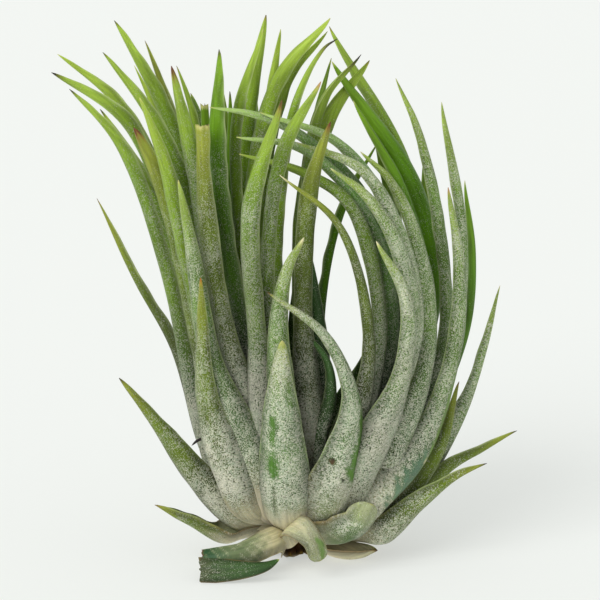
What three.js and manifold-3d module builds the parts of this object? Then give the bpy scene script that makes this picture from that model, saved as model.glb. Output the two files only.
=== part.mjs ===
// Air plant: a rosette of stiff, channelled, tapering leaves on a short woody stem.
// The spoon-shaped leaf bases overlap into a bulb, and the plant stands on its stem foot
// and on its lowest leaves. Millimetres, +Z up, origin at the middle of the stem's foot,
// front of the plant towards -Y.

import * as THREE from 'three';
import { mergeVertices } from 'three/addons/utils/BufferGeometryUtils.js';
import Module from 'manifold-3d';

const wasm = await Module();
wasm.setup();

// ---- driving dimensions, mm ----

const GAP = 0.3; // clearance that a leaf keeps to its neighbours
const BLADE_THICKNESS = 0.9;
const SHEATH_THICKNESS = 1.3;
const TIP_THICKNESS = 0.5;
const TIP_WIDTH = 0.6;
const BLADE_CHANNEL = 0.26; // channel depth as a share of the width
const SHEATH_CHANNEL = 0.2;
const SHOULDER = 0.4; // half width of the keel's flat, as a share of the half width
const ROOT_SHARE = 0.5; // width of the root as a share of the sheath
const ROOT_END = 11; // along the leaf, where the root has widened into the sheath
const SHEATH_START = 20; // where the sheath begins to fade into the blade
const SHEATH_END = 55;
const SHORT_START = 0.33; // the same two places on a short leaf, as shares of its length
const SHORT_END = 0.85;
const TWIST_START = 12;
const TWIST_END = 48;
const POINT_LENGTH = 17; // last stretch of a leaf, which narrows to its point
const POINT_SHARE = 0.3; // the same on a short leaf, as a share of its length
const POINT_POWER = 0.47;
const CUT_WIDTH = 0.9; // width left at the end of a cut leaf, as a share
const BLUNT_WIDTH = 0.7;
const THIN_START = 0.8; // share of the leaf where it begins to thin towards the tip
const RING_STEP = 11; // distance between two rings of a leaf
const FEWEST_RINGS = 6;
const TIP_RING = 3.5; // distance from the tip of one more ring, where the width changes fastest

const STEM_HEIGHT = 13;
const STEM_LEAN = 2.5; // sideways shift of the stem's top
const FOOT_RADIUS = 3.6;
const STEM_RADIUS = 4.4;
const STEM_SIDES = 12;
const STEM_TIP_SHARE = 0.55; // radius near the stem's top as a share of its radius
const ROOT_PLACE = 0.9; // distance of a root from the stem's axis as a share of its radius
const TOP_WHORL = 2; // whorls are counted down the stem from its tip
const WHORL_STEP = 0.9;
const KNEE_OUT = 0.7; // place of the knee between the root and the first point, sideways
const KNEE_UP = 0.33; // and upwards

const DEGREE = Math.PI / 180;

// ---- leaves ----
// whorl: place down the stem; at: compass angle of the root, 0 to the right and -90 to
// the front; twist: turn of the blade's outer face about its own length, in degrees;
// turn: the same at the root; fold: depth of the channel as a share of the width, where it
// isn't the usual one; point: length of the narrowing point, likewise; blade and sheath:
// widths; tip: a point unless it is blunt or cut; via: points that the keel passes after
// its knee, the last one being the tip.

const LEAVES = [
  // left fan
  { name: 'left_leaf_1', whorl: 9, at: 168, twist: 35, point: 35, blade: 4.4, sheath: 9,
    via: [[-19, 4, 21], [-25.5, 6, 43.5], [-33.5, 8, 58.5], [-42, 11.5, 76]] },
  { name: 'left_leaf_2', whorl: 9, at: -176, twist: 35, point: 20, blade: 4.2, sheath: 9,
    via: [[-20, -3, 28], [-27, -5, 64], [-36, -8, 91.5], [-46, -10, 104]] },
  { name: 'left_leaf_3', whorl: 8, at: 178, twist: 35, blade: 3.8, sheath: 7,
    via: [[-20, 0, 36], [-26, 1.5, 67.5], [-32.5, 1.5, 84], [-40.4, 1.5, 97.6]] },
  { name: 'left_leaf_4', whorl: 8, at: 166, twist: 50, blade: 4.6, sheath: 7.5,
    via: [[-19.5, 4, 44], [-27, 5.5, 73.5], [-35.5, 6.5, 93.5], [-51, 7, 104.5]] },
  { name: 'left_leaf_5', whorl: 8, at: 152, twist: 50, blade: 4.2, sheath: 8,
    via: [[-19.5, 9, 46], [-28.5, 13, 79.5], [-37.5, 16.5, 95.5], [-50.5, 18.5, 106.5]] },
  { name: 'left_leaf_6', whorl: 8, at: -168, twist: 40, point: 9, blade: 4.2, sheath: 7,
    via: [[-20, -8, 48], [-24.5, -11, 72], [-28, -12.5, 85.5], [-32.5, -13.5, 96.5]] },
  { name: 'left_leaf_7', whorl: 8, at: -155, twist: 40, blade: 3.4, sheath: 8,
    via: [[-18, -11, 46], [-23.5, -15, 75], [-26.5, -17, 90.5], [-31, -17, 103.5]] },
  { name: 'left_leaf_8', whorl: 6, at: -172, twist: 40, blade: 3.8, sheath: 6.5,
    via: [[-17, -3, 48], [-21.5, -6, 79.5], [-29, -8, 97], [-39, -8.5, 111.5]] },
  { name: 'left_leaf_9', whorl: 6, at: 176, twist: 40, point: 30, blade: 3.4, sheath: 6,
    via: [[-16.5, 0.5, 49], [-22.5, 1.5, 80], [-28, 1.5, 95], [-33, 1.5, 107]] },
  { name: 'left_leaf_10', whorl: 6, at: 160, twist: 60, blade: 4.4, sheath: 7,
    via: [[-16, 5.5, 48], [-21.5, 7.5, 80], [-28, 8.5, 97], [-37.5, 8.5, 115.5]] },
  { name: 'left_leaf_11', whorl: 6, at: 143, twist: 50, blade: 3.8, sheath: 7,
    via: [[-15, 10.5, 46], [-20.5, 14.5, 77.5], [-26.5, 18, 94.5], [-31.5, 18.5, 109.5]] },
  { name: 'left_leaf_12', whorl: 6, at: -160, twist: 50, blade: 3.8, sheath: 6.5,
    via: [[-14.5, -6.5, 40], [-17, -9, 62], [-20, -12, 85], [-24.5, -13.5, 109.5]] },
  { name: 'left_leaf_13', whorl: 5, at: 165, twist: 50, blade: 3.2, sheath: 6,
    via: [[-13, 5, 48], [-18.5, 3.5, 82], [-21, 2, 96.5], [-24, 1, 107]] },
  { name: 'low_left_leaf_1', whorl: 10, at: -150, turn: 35, twist: 40, blade: 3.6, sheath: 8,
    via: [[-13.5, -12, 11], [-21.5, -15, 22], [-28.5, -16, 33], [-36, -17.5, 43.5]] },
  { name: 'low_left_leaf_2', whorl: 11, at: -170, twist: 10, fold: 0.34, blade: 4.8, sheath: 9,
    via: [[-14.5, -8, 4.4], [-21.5, -11, 9.4], [-29, -13, 14]] },
  // front and middle
  { name: 'front_leaf_1', whorl: 9, at: -128, twist: 20, point: 30, blade: 4.4, sheath: 11,
    via: [[-8.5, -17, 22], [-17, -18, 48.5], [-20.5, -20, 72], [-23, -21.5, 87]] },
  { name: 'front_leaf_2', whorl: 9, at: -142, twist: 20, point: 35, blade: 5.2, sheath: 11,
    via: [[-14, -17.5, 21], [-18, -19.5, 39.5], [-18.5, -21, 55], [-18.5, -22.5, 66.5]] },
  { name: 'front_leaf_3', whorl: 9, at: -88, twist: 0, point: 30, blade: 5.2, sheath: 8,
    via: [[-2, -19.5, 37], [-2.5, -22, 57], [-0.5, -23.5, 68.5], [3, -24.5, 75.5]] },
  { name: 'front_leaf_4', whorl: 10, at: -95, twist: 0, blade: 7.4, sheath: 12,
    via: [[-1.5, -21.5, 20], [-2, -23, 33.5], [-2, -23.5, 44], [-1.5, -24.5, 53.5]] },
  { name: 'front_leaf_5', whorl: 10, at: -62, twist: 0, point: 50, blade: 4.4, sheath: 12,
    via: [[10.5, -20.5, 20], [13.5, -22, 39], [7.5, -24.5, 54.5], [-4.5, -27, 64.5]] },
  { name: 'middle_leaf_1', whorl: 7, at: -128, twist: 10, blade: 4.8, sheath: 8, tip: 'blunt',
    via: [[-9.5, -13.5, 33], [-15, -16, 57], [-18, -17, 79.5], [-18.5, -18, 97.5]] },
  { name: 'middle_leaf_2', whorl: 6, at: -120, twist: 0, blade: 5.4, sheath: 7,
    via: [[-8.5, -9.5, 37], [-12.5, -10.5, 61], [-16.1, -13, 92.5], [-14.6, -13.5, 113]] },
  { name: 'middle_leaf_3', whorl: 5, at: -115, twist: 15, blade: 3.6, sheath: 6,
    via: [[-7.5, -6, 40.5], [-11, -7.5, 71], [-11.5, -8, 98], [-5.5, -8.5, 116.5]] },
  { name: 'middle_leaf_4', whorl: 5, at: -95, twist: 50, blade: 3.8, sheath: 6,
    via: [[-5.5, -4, 43.5], [-8.5, -6, 81.5], [-2.5, -7, 106], [8.5, -7, 118.5]] },
  { name: 'middle_leaf_5', whorl: 8, at: -107, twist: 0, point: 24, blade: 4.6, sheath: 9,
    via: [[-6.5, -16, 29], [-7.5, -18.5, 52.5], [-8.5, -23, 81], [-1.5, -25, 104.5]] },
  { name: 'middle_leaf_6', whorl: 7, at: -92, twist: 0, blade: 3.4, sheath: 7,
    via: [[-3.5, -13.5, 37.5], [-5, -16.5, 69], [-1.5, -19, 93], [6.5, -20.5, 107.5]] },
  { name: 'middle_leaf_7', whorl: 5, at: -75, twist: 0, point: 28, blade: 3, sheath: 6,
    via: [[-2.3, -8, 40.5], [-2.8, -8.5, 75.5], [1, -9, 101], [7, -9, 112.5], [10, -9, 114.5]] },
  { name: 'middle_leaf_8', whorl: 5, at: -50, twist: -60, blade: 3.2, sheath: 6,
    via: [[2, -4, 39.5], [2.3, -4.5, 79], [6.6, -5, 100.5], [15, -5, 110.5]] },
  { name: 'middle_leaf_9', whorl: 5, at: -20, twist: -40, blade: 3.8, sheath: 6,
    via: [[3, 0.5, 38], [2.5, 3, 75.5], [8, 5, 95], [17, 5, 107.5]] },
  { name: 'middle_leaf_10', whorl: 7, at: -72, twist: 0, blade: 4, sheath: 8,
    via: [[4.5, -14, 29], [3, -16.5, 58], [4.5, -19, 84.5], [8.5, -20, 99]] },
  { name: 'middle_leaf_11', whorl: 6, at: 20, twist: -60, blade: 3.2, sheath: 6,
    via: [[7, 2.5, 33], [7.4, 4, 55], [11.5, 5.5, 74.5], [19, 8, 89]] },
  { name: 'middle_leaf_12', whorl: 8, at: -52, twist: 0, blade: 2.4, sheath: 5,
    via: [[6.4, -14, 29], [8.8, -14.5, 38], [8, -15.5, 46.5], [3.5, -14.5, 52.5]] },
  { name: 'middle_leaf_13', whorl: 6, at: -48, twist: -20, blade: 3, sheath: 5,
    via: [[6.5, -9, 29.5], [7, -9, 41], [6, -9, 54], [4.5, -10.5, 68.5]] },
  // arching leaves on the right
  { name: 'arching_leaf_1', whorl: 6, at: -12, twist: -30, point: 35, blade: 3.4, sheath: 6,
    via: [[20, -2.5, 30], [24.5, -3.5, 55], [17, -5.5, 79], [2, -12, 95.2],
      [-7.5, -15, 99.8], [-16.5, -17, 101.5]] },
  { name: 'arching_leaf_2', whorl: 6, at: 6, twist: -30, point: 35, blade: 3.6, sheath: 6.5,
    via: [[24, 0.5, 33.5], [28, -3, 57], [22.5, -3.5, 75.5], [10, -12, 93.5], [-6, -15, 100]] },
  { name: 'arching_leaf_3', whorl: 6, at: -28, twist: -30, point: 35, blade: 3.4, sheath: 6,
    via: [[18, -7, 29], [22.5, -8, 54], [15.5, -11, 79], [3, -13.5, 92], [-11, -16, 95]] },
  { name: 'arching_leaf_4', whorl: 7, at: -18, twist: -30, point: 35, blade: 4, sheath: 7,
    via: [[21, -7.5, 28.5], [27.5, -11, 52.5], [23.5, -14.5, 74], [15.5, -16, 88], [1.5, -16.5, 94]] },
  { name: 'arching_leaf_5', whorl: 7, at: -40, twist: -30, point: 35, blade: 3.4, sheath: 7,
    via: [[16, -11.5, 30], [19.5, -12, 54.5], [13, -14, 80], [3, -13.5, 87], [-10.5, -14, 91]] },
  { name: 'arching_leaf_6', whorl: 8, at: -28, twist: -30, point: 32, blade: 4.2, sheath: 8,
    via: [[20.5, -10.5, 27.5], [26.5, -14, 55.5], [22.5, -18.5, 73], [16, -20, 83.5], [8.5, -21.5, 89.5]] },
  { name: 'arching_leaf_7', whorl: 8, at: -50, twist: -20, point: 45, blade: 2.8, sheath: 7,
    via: [[14.5, -15.5, 29.5], [17, -17, 52], [10.5, -21, 77], [-2, -23.5, 88.5]] },
  { name: 'arching_leaf_8', whorl: 9, at: -42, twist: -20, point: 45, blade: 5.6, sheath: 12,
    via: [[16.5, -17.5, 22], [24.5, -19, 46], [24.5, -21, 61.5], [18, -23.5, 74.5]] },
  // right fan
  { name: 'right_leaf_1', whorl: 9, at: -22, twist: -40, point: 32, blade: 4.2, sheath: 9,
    via: [[23, -12, 24], [30, -8, 47.5], [27.5, -7, 70], [21.5, -5.5, 83.5], [15, -4, 89.5]] },
  { name: 'right_leaf_2', whorl: 6, at: 20, twist: -50, blade: 2.8, sheath: 6,
    via: [[24, 5, 30], [30, 2.5, 55.5], [25, 0, 79], [13.5, -1.5, 100]] },
  { name: 'right_leaf_3', whorl: 7, at: 26, twist: -75, point: 26, blade: 4.4, sheath: 7.5,
    via: [[24, 9.5, 27], [32, 7, 55], [27.5, 5, 79.5], [9, 3.5, 107.5]] },
  { name: 'right_leaf_4', whorl: 7, at: 38, twist: -50, blade: 4.2, sheath: 7.5,
    via: [[22, 13, 29], [31.5, 13, 57.5], [25.5, 11.5, 84.5], [8.5, 10, 114]] },
  { name: 'right_leaf_5', whorl: 7, at: -4, twist: -45, point: 30, blade: 3.4, sheath: 7,
    via: [[27, -3, 25.5], [34, -1, 49.5], [32.5, 0, 72.5], [27.5, 0, 93.5], [22.5, 0, 104.5]] },
  { name: 'right_leaf_6', whorl: 10, at: -25, twist: -45, point: 32, blade: 4, sheath: 11,
    via: [[19.5, -13.5, 13.5], [28, -10.5, 24], [35.5, -7, 46.5], [36.5, -6, 64], [33.5, -7.5, 82.5]] },
  { name: 'right_leaf_7', whorl: 8, at: 8, twist: -40, blade: 3.4, sheath: 7.5,
    via: [[28.5, 4, 26], [37, 3, 51], [37.5, 4, 72], [32.5, 5, 98.5]] },
  { name: 'right_leaf_8', whorl: 9, at: 20, twist: -40, blade: 3.6, sheath: 8,
    via: [[30.5, 9, 24.5], [39, 9, 47.5], [40, 10, 65], [38, 11.5, 80]] },
  { name: 'right_leaf_9', whorl: 9, at: -8, twist: -45, blade: 3.4, sheath: 7,
    via: [[25, -7, 12], [32.5, -5, 23], [36.5, -4, 39]] },
  { name: 'right_leaf_10', whorl: 10, at: 6, twist: -40, point: 30, blade: 3.8, sheath: 9,
    via: [[30, -1, 16], [38, 1, 31], [42.5, 2, 45.5], [45.5, 3.5, 58.5]] },
  { name: 'low_right_leaf_1', whorl: 11, at: 4, twist: -30, blade: 3.8, sheath: 9,
    via: [[28, -2, 11], [35, -1, 18.5], [42, 0, 22.5], [49.5, 1, 26.5]] },
  { name: 'low_right_leaf_2', whorl: 11, at: -26, turn: -50, twist: -35, blade: 3.4, sheath: 8.5,
    via: [[20, -11.5, 5.8], [28, -10.5, 13], [35.5, -9, 18.8], [42.5, -8, 21.8]] },
  // lowest leaves, curled, cut short or dry
  { name: 'cut_leaf', whorl: 12, at: -120, turn: 125, twist: 180, fold: 0.36, blade: 6.6,
    sheath: 6.4, tip: 'cut',
    via: [[-1.8, -14.6, 8.2], [-4.6, -18.4, 8.4], [-10.8, -20.6, 6.6], [-18.6, -20.6, 5.8]] },
  { name: 'curled_leaf', whorl: 12, at: -70, turn: 70, twist: 70, fold: 0.12, blade: 6.2,
    sheath: 4.4, tip: 'blunt',
    via: [[-0.2, -16.5, 9.8], [2.2, -20.2, 11], [5, -22.4, 8.6], [6.4, -22.8, 4.6]] },
  { name: 'lip_leaf', whorl: 12, at: -70, turn: -20, twist: -60, fold: 0.25, blade: 10.4,
    sheath: 9, tip: 'blunt',
    via: [[6.2, -15.2, 6.8], [10.8, -18.4, 8.2], [14.8, -19.4, 11.4], [17.6, -18.8, 16]] },
  { name: 'dry_leaf', whorl: 12.5, at: -40, twist: 0, blade: 6, sheath: 7,
    via: [[7.5, -5.8, 1.8], [12.5, -8.6, 1.2], [19, -9.4, 2.5]] },
];

// Youngest leaves, which stand in the middle on the stem's tip.
const HEART = [
  { whorl: 4, at: 175, twist: 60, blade: 2.6, sheath: 5, tip: 'blunt',
    via: [[-11.5, -2, 50], [-17, -6, 81.5], [-18, -8.5, 100]] },
  { whorl: 3, at: 170, twist: 60, blade: 2.4, sheath: 4,
    via: [[-9.5, 0, 52], [-12.5, -1, 80.5], [-12.6, -4.5, 102.5]] },
  { whorl: 4, at: 150, twist: 70, blade: 3.4, sheath: 6,
    via: [[-7.5, 1, 42.5], [-9.5, 1.5, 69], [-9, 3.5, 96], [-5, 3.5, 117.5]] },
  { whorl: 3, at: 110, twist: 90, blade: 2.8, sheath: 5,
    via: [[-5, 7, 43], [-6.5, 11, 73.5], [-4.5, 15, 98], [-2, 15.5, 112.5]] },
  { whorl: 3, at: -80, twist: 0, blade: 3.6, sheath: 5,
    via: [[-3.5, 2, 44], [-6, 3, 79.5], [-1, 3.5, 103.5], [8, 3.5, 114]] },
  { whorl: 3, at: 60, twist: -90, blade: 2.6, sheath: 4.5,
    via: [[1.5, 6, 43], [4, 10, 76], [6.5, 13, 95], [9, 13.5, 106.5]] },
];

const BACK_LEFT = [
  { whorl: 8.8, at: 124, twist: 0, blade: 4.2, sheath: 10,
    via: [[-10, 13, 26], [-13, 19, 55], [-17, 24, 79], [-22, 29, 96]] },
  { whorl: 10.6, at: 107, twist: 0, blade: 4.2, sheath: 10,
    via: [[-5, 17, 20], [-9, 24, 47], [-12, 30, 71], [-14, 35, 87]] },
  { whorl: 11, at: 140, twist: 0, blade: 4.2, sheath: 10,
    via: [[-14, 14, 20], [-20, 19, 49], [-24, 22, 71], [-30, 26, 89]] },
  { whorl: 9.6, at: 97, twist: 0, blade: 4, sheath: 8,
    via: [[-2, 13.5, 28], [-6, 17.5, 57], [-8, 20, 81], [-8, 26, 98]] },
  { whorl: 8, at: 112, twist: 0, blade: 3.8, sheath: 7,
    via: [[-6, 11, 32], [-10, 15, 60], [-14, 18, 84], [-15.5, 21, 101]] },
  { whorl: 12, at: 128, twist: 0, blade: 5, sheath: 10,
    via: [[-7, 12, 2.6], [-10, 17, 0.8], [-13, 23, 3]] },
];

const BACK_RIGHT = [
  { whorl: 11.2, at: 48, twist: 0, blade: 4.2, sheath: 10,
    via: [[14, 13, 19], [21, 20, 45], [24, 24, 66], [22, 28, 83]] },
  { whorl: 10.4, at: 34, twist: 0, blade: 4.2, sheath: 9,
    via: [[20, 15, 23], [27, 20, 47], [30.5, 22, 66], [30, 25, 84]] },
  { whorl: 10.4, at: 66, twist: 0, blade: 4.2, sheath: 9,
    via: [[10, 16, 18], [20, 24, 38], [25, 29, 52], [29, 33, 60]] },
  { whorl: 9.6, at: 54, twist: 0, blade: 3.6, sheath: 8,
    via: [[15, 12, 27], [22, 16, 52], [23, 17, 72], [18, 19, 92]] },
  { whorl: 11.4, at: 22, twist: 0, blade: 4, sheath: 9,
    via: [[23, 9, 12], [31, 13, 27], [35.5, 14, 43]] },
  { whorl: 12, at: 62, twist: 0, blade: 5, sheath: 10,
    via: [[9, 12, 2.6], [13, 18, 0.8], [17, 24, 2.6]] },
];

// ---- leaf shape ----

const { lerp, smoothstep } = THREE.MathUtils;

// A point on the leaning stem's axis at a height.
function stemAxis(height) {
  return new THREE.Vector3(STEM_LEAN * height / STEM_HEIGHT, 0, height);
}

// The keel: from the root in the stem, out round the knee of the sheath, then through the
// leaf's own points to the tip.
function keelCurve(leaf) {
  const angle = leaf.at * DEGREE;
  const outward = new THREE.Vector3(Math.cos(angle), Math.sin(angle), 0);
  const height = STEM_HEIGHT - WHORL_STEP * (leaf.whorl - TOP_WHORL);
  const root = stemAxis(height).addScaledVector(outward, ROOT_PLACE * STEM_RADIUS);
  const path = leaf.via.map((point) => new THREE.Vector3(...point));
  const first = path[0];
  const knee = new THREE.Vector3(
    lerp(root.x, first.x, KNEE_OUT),
    lerp(root.y, first.y, KNEE_OUT),
    lerp(root.z, first.z, KNEE_UP),
  );
  return new THREE.CatmullRomCurve3([root, knee, ...path], false, 'centripetal');
}

// Width at a distance along the leaf: a narrow root, a broad sheath that fades into the
// blade, and a point, which a blunt or a cut leaf lacks.
function leafWidth(leaf, distance, length) {
  const start = Math.min(SHEATH_START, SHORT_START * length);
  const end = Math.min(SHEATH_END, SHORT_END * length);
  const sheath = 1 - smoothstep(distance, start, end);
  const root = lerp(ROOT_SHARE, 1, smoothstep(distance, 0, Math.min(ROOT_END, start)));
  const left = (length - distance) / (leaf.point ?? Math.min(POINT_LENGTH, POINT_SHARE * length));
  const least = { cut: CUT_WIDTH, blunt: BLUNT_WIDTH }[leaf.tip] ?? 0;
  const point = Math.max(least, Math.min(1, left) ** POINT_POWER);
  return Math.max(TIP_WIDTH, lerp(leaf.blade, leaf.sheath, sheath) * root * point);
}

// A leaf as a closed loft of a channelled section. The section's outer face points down
// at the root, is carried along the keel without turning, and has the leaf's turn at the
// root and its twist past the sheath. With a margin, the same leaf is thicker all round.
function leafSolid(leaf, margin = 0) {
  const curve = keelCurve(leaf);
  const length = curve.getLength();
  const steps = Math.max(FEWEST_RINGS, Math.round(length / RING_STEP));
  const places = Array.from({ length: steps + 1 }, (_, i) => i / steps);
  places.splice(steps, 0, 1 - TIP_RING / length);
  const rings = places.length - 1;
  const corners = [[-1, 0], [-SHOULDER, 1], [SHOULDER, 1], [1, 0], [0, -1]];
  const positions = [];
  const before = curve.getTangentAt(0);
  const face = new THREE.Vector3(0, 0, -1);
  face.addScaledVector(before, -face.dot(before)).normalize();
  for (const [i, u] of places.entries()) {
    const distance = u * length;
    const centre = curve.getPointAt(u);
    const tangent = curve.getTangentAt(u);
    face.applyQuaternion(new THREE.Quaternion().setFromUnitVectors(before, tangent));
    before.copy(tangent);
    const twisted = smoothstep(distance, TWIST_START, TWIST_END);
    const angle = lerp(leaf.turn ?? 0, leaf.twist, twisted) * DEGREE;
    const out = face.clone().applyAxisAngle(tangent, angle);
    const side = new THREE.Vector3().crossVectors(tangent, out);
    const width = leafWidth(leaf, distance, length);
    const blade = smoothstep(distance, SHEATH_START, SHEATH_END);
    const channel = width * (leaf.fold ?? lerp(SHEATH_CHANNEL, BLADE_CHANNEL, blade));
    const body = lerp(SHEATH_THICKNESS, BLADE_THICKNESS, blade);
    const half = lerp(body, TIP_THICKNESS, smoothstep(u, THIN_START, 1)) / 2 + margin;
    const beyond = margin * (Number(i === rings) - Number(i === 0));
    for (const [across, face2] of corners) {
      positions.push(...centre.clone()
        .addScaledVector(side, across * (width / 2 + margin))
        .addScaledVector(out, face2 * half - channel * across ** 2)
        .addScaledVector(tangent, beyond));
    }
  }
  return loftSolid(positions, corners.length, rings);
}

// A solid from rings of points, closed by a flat fan at both ends.
function loftSolid(positions, count, rings) {
  const triangles = [];
  for (let i = 0; i < rings; i += 1) {
    for (let k = 0; k < count; k += 1) {
      const a = i * count + k;
      const b = i * count + (k + 1) % count;
      triangles.push(a, b, b + count, a, b + count, a + count);
    }
  }
  const last = rings * count;
  for (let k = 1; k < count - 1; k += 1) {
    triangles.push(0, k + 1, k);
    triangles.push(last, last + k, last + k + 1);
  }
  return new wasm.Manifold(new wasm.Mesh({
    numProp: 3,
    vertProperties: new Float32Array(positions),
    triVerts: new Uint32Array(triangles),
  }));
}

// The woody stem: a turned body with a flat foot, sheared sideways so that it leans.
function stemSolid(margin = 0) {
  const profile = [
    [0, -margin],
    [FOOT_RADIUS + margin, -margin],
    [STEM_RADIUS + margin, 0.25 * STEM_HEIGHT],
    [STEM_RADIUS + margin, 0.6 * STEM_HEIGHT],
    [STEM_TIP_SHARE * STEM_RADIUS + margin, STEM_HEIGHT],
    [0, STEM_HEIGHT + 1 + margin],
  ].map(([radius, height]) => new THREE.Vector2(radius, height));
  const lean = STEM_LEAN / STEM_HEIGHT;
  const shear = new THREE.Matrix4().set(1, 0, lean, 0, 0, 1, 0, 0, 0, 0, 1, 0, 0, 0, 0, 1);
  const turned = new THREE.LatheGeometry(profile, STEM_SIDES).rotateX(Math.PI / 2);
  return toSolid(turned.applyMatrix4(shear));
}

function toSolid(geometry) {
  geometry.deleteAttribute('normal');
  geometry.deleteAttribute('uv');
  const merged = mergeVertices(geometry, 1e-4);
  return new wasm.Manifold(new wasm.Mesh({
    numProp: 3,
    vertProperties: new Float32Array(merged.attributes.position.array),
    triVerts: new Uint32Array(merged.index.array),
  }));
}

function toGeometry(solid) {
  const mesh = solid.getMesh();
  const geometry = new THREE.BufferGeometry();
  geometry.setAttribute('position', new THREE.BufferAttribute(mesh.vertProperties, 3));
  geometry.setIndex(new THREE.BufferAttribute(mesh.triVerts, 1));
  geometry.computeVertexNormals();
  return geometry;
}

// What a cut leaves of a leaf is its largest body.
function largestBody(solid) {
  return solid.decompose().reduce((best, body) => (body.volume() > best.volume() ? body : best));
}

// ---- assembly ----

// Everything below the surface that the plant stands on.
const below = toSolid(new THREE.BoxGeometry(400, 400, 40).translate(0, 0, -20));

// One piece of the plant: its solid, and the room that others keep free for it.
function makePiece(name, rank, colour, leaves, stem = false) {
  const grown = (margin) => {
    const solids = leaves.map((leaf) => leafSolid(leaf, margin));
    if (stem) {
      solids.unshift(stemSolid(margin));
    }
    return solids.reduce((all, solid) => all.add(solid));
  };
  const solid = grown(0);
  return { name, rank, colour, solid, room: solid.add(grown(GAP)) };
}

const pieces = [
  makePiece('stem_and_heart', 20, 0x8fa05a, HEART, true),
  makePiece('back_leaves_left', 13, 0x7c9a55, BACK_LEFT),
  makePiece('back_leaves_right', 13, 0x7c9a55, BACK_RIGHT),
  ...LEAVES.map((leaf) => makePiece(leaf.name, leaf.whorl, 0x86a05c, [leaf])),
].sort((a, b) => b.rank - a.rank);

// Each piece gives way to those that were placed before it: the stem first, then the
// leaves from the lowest and outermost whorl inwards.
const plant = new THREE.Group();
const taken = [below];
for (const piece of pieces) {
  const solid = taken.reduce((rest, room) => rest.subtract(room), piece.solid);
  taken.push(piece.room);
  const material = new THREE.MeshStandardMaterial({
    color: piece.colour,
    roughness: 0.75,
    metalness: 0,
  });
  const mesh = new THREE.Mesh(toGeometry(largestBody(solid)), material);
  mesh.name = piece.name;
  plant.add(mesh);
}

export default plant;
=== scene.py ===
"""Air plant, dressed for the photograph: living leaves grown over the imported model.

Lengths in the tables are millimetres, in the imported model's own frame, and are divided by
MM when a mesh is made. +Z is up, the front is towards -Y, and the origin is the middle of
the stem's foot.
"""

import math

import bpy
import numpy as np
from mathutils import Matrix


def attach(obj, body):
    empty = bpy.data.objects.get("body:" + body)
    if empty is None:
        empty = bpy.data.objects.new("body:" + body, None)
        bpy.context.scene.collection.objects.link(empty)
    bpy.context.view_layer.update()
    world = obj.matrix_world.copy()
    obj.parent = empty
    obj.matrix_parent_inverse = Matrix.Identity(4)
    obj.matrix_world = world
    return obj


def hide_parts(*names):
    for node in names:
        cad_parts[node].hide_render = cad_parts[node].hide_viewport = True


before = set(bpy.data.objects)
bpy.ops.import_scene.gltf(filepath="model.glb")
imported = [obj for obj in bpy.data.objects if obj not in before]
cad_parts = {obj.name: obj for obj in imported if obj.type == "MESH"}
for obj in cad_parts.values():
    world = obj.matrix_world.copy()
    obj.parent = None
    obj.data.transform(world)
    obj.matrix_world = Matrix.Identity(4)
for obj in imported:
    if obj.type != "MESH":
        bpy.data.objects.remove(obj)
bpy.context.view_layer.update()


# ---------------------------------------------------------------------------------------
# Stem: a short woody stump of dead leaf bases, dry and dark brown. It is all that shows in
# the hollow under the leaves, and its flat foot is what the plant stands on.

MM = 1000.0  # millimetres in a metre

STEM_HEIGHT, STEM_TOP = 13.0, 0.6  # the stem, and the worn tip above it
STEM_LEAN = 2.5
FOOT_RADIUS = 3.6
STEM_RADIUS = 4.4
NECK_SHARE, TIP_RADIUS = 0.55, 0.5
STEM_ROWS, STEM_SIDES = 60, 96
BARK_RELIEF = 0.28
SCARS_ROUND, SCAR_HEIGHT, SCAR_TURN = 9, 1.6, 1.9  # leaf scars: number in a row, height, turn
FLUTES, FLUTE_SHARE = 31, 0.3  # fine ridges round the stem, and their share of the relief
BARK_GRAIN = (900, 900, 300)  # noise cells in a metre, fewer upwards

BARK_DARK = (52, 36, 22)
BARK_LIGHT = (128, 98, 58)


def linear(colour):
    """A display colour of three numbers to 255 as linear RGB: the usual 2.4 power curve."""
    share = np.asarray(colour, dtype=float) / 255
    return np.where(share > 0.04045, ((share + 0.055) / 1.055) ** 2.4, share / 12.92)


def smoothstep(value, start, end):
    """0 before start, 1 after end, and 3t² - 2t³ between them."""
    t = np.clip((value - start) / (end - start), 0, 1)
    return t * t * (3 - 2 * t)


def mix(a, b, share):
    """The straight mix a + (b - a) * share."""
    return a + (b - a) * share


def tube_faces(rows, around):
    """Quads between neighbouring rings of a closed tube, facing away from its axis."""
    row, col = np.meshgrid(np.arange(rows - 1), np.arange(around), indexing="ij")
    here = row * around + col
    beside = row * around + (col + 1) % around
    return np.stack([here, beside, beside + around, here + around], axis=-1).reshape(-1, 4)


def cap_faces(rows, around):
    """Triangles that close both ends of a tube on two points added after its rings."""
    col = np.arange(around)
    beside = (col + 1) % around
    first = rows * around
    start = np.stack([np.full(around, first), beside, col], axis=-1)
    last = (rows - 1) * around
    end = np.stack([np.full(around, first + 1), last + col, last + beside], axis=-1)
    return np.concatenate([start, end])


def closed_tube(rings):
    """Points and faces of a tube from rings of shape (rows, around, 3), with capped ends."""
    rows, around = rings.shape[:2]
    ends = [rings[0].mean(0)[None], rings[-1].mean(0)[None]]
    points = np.concatenate([rings.reshape(-1, 3), *ends])
    return points, tube_faces(rows, around), cap_faces(rows, around)


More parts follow.
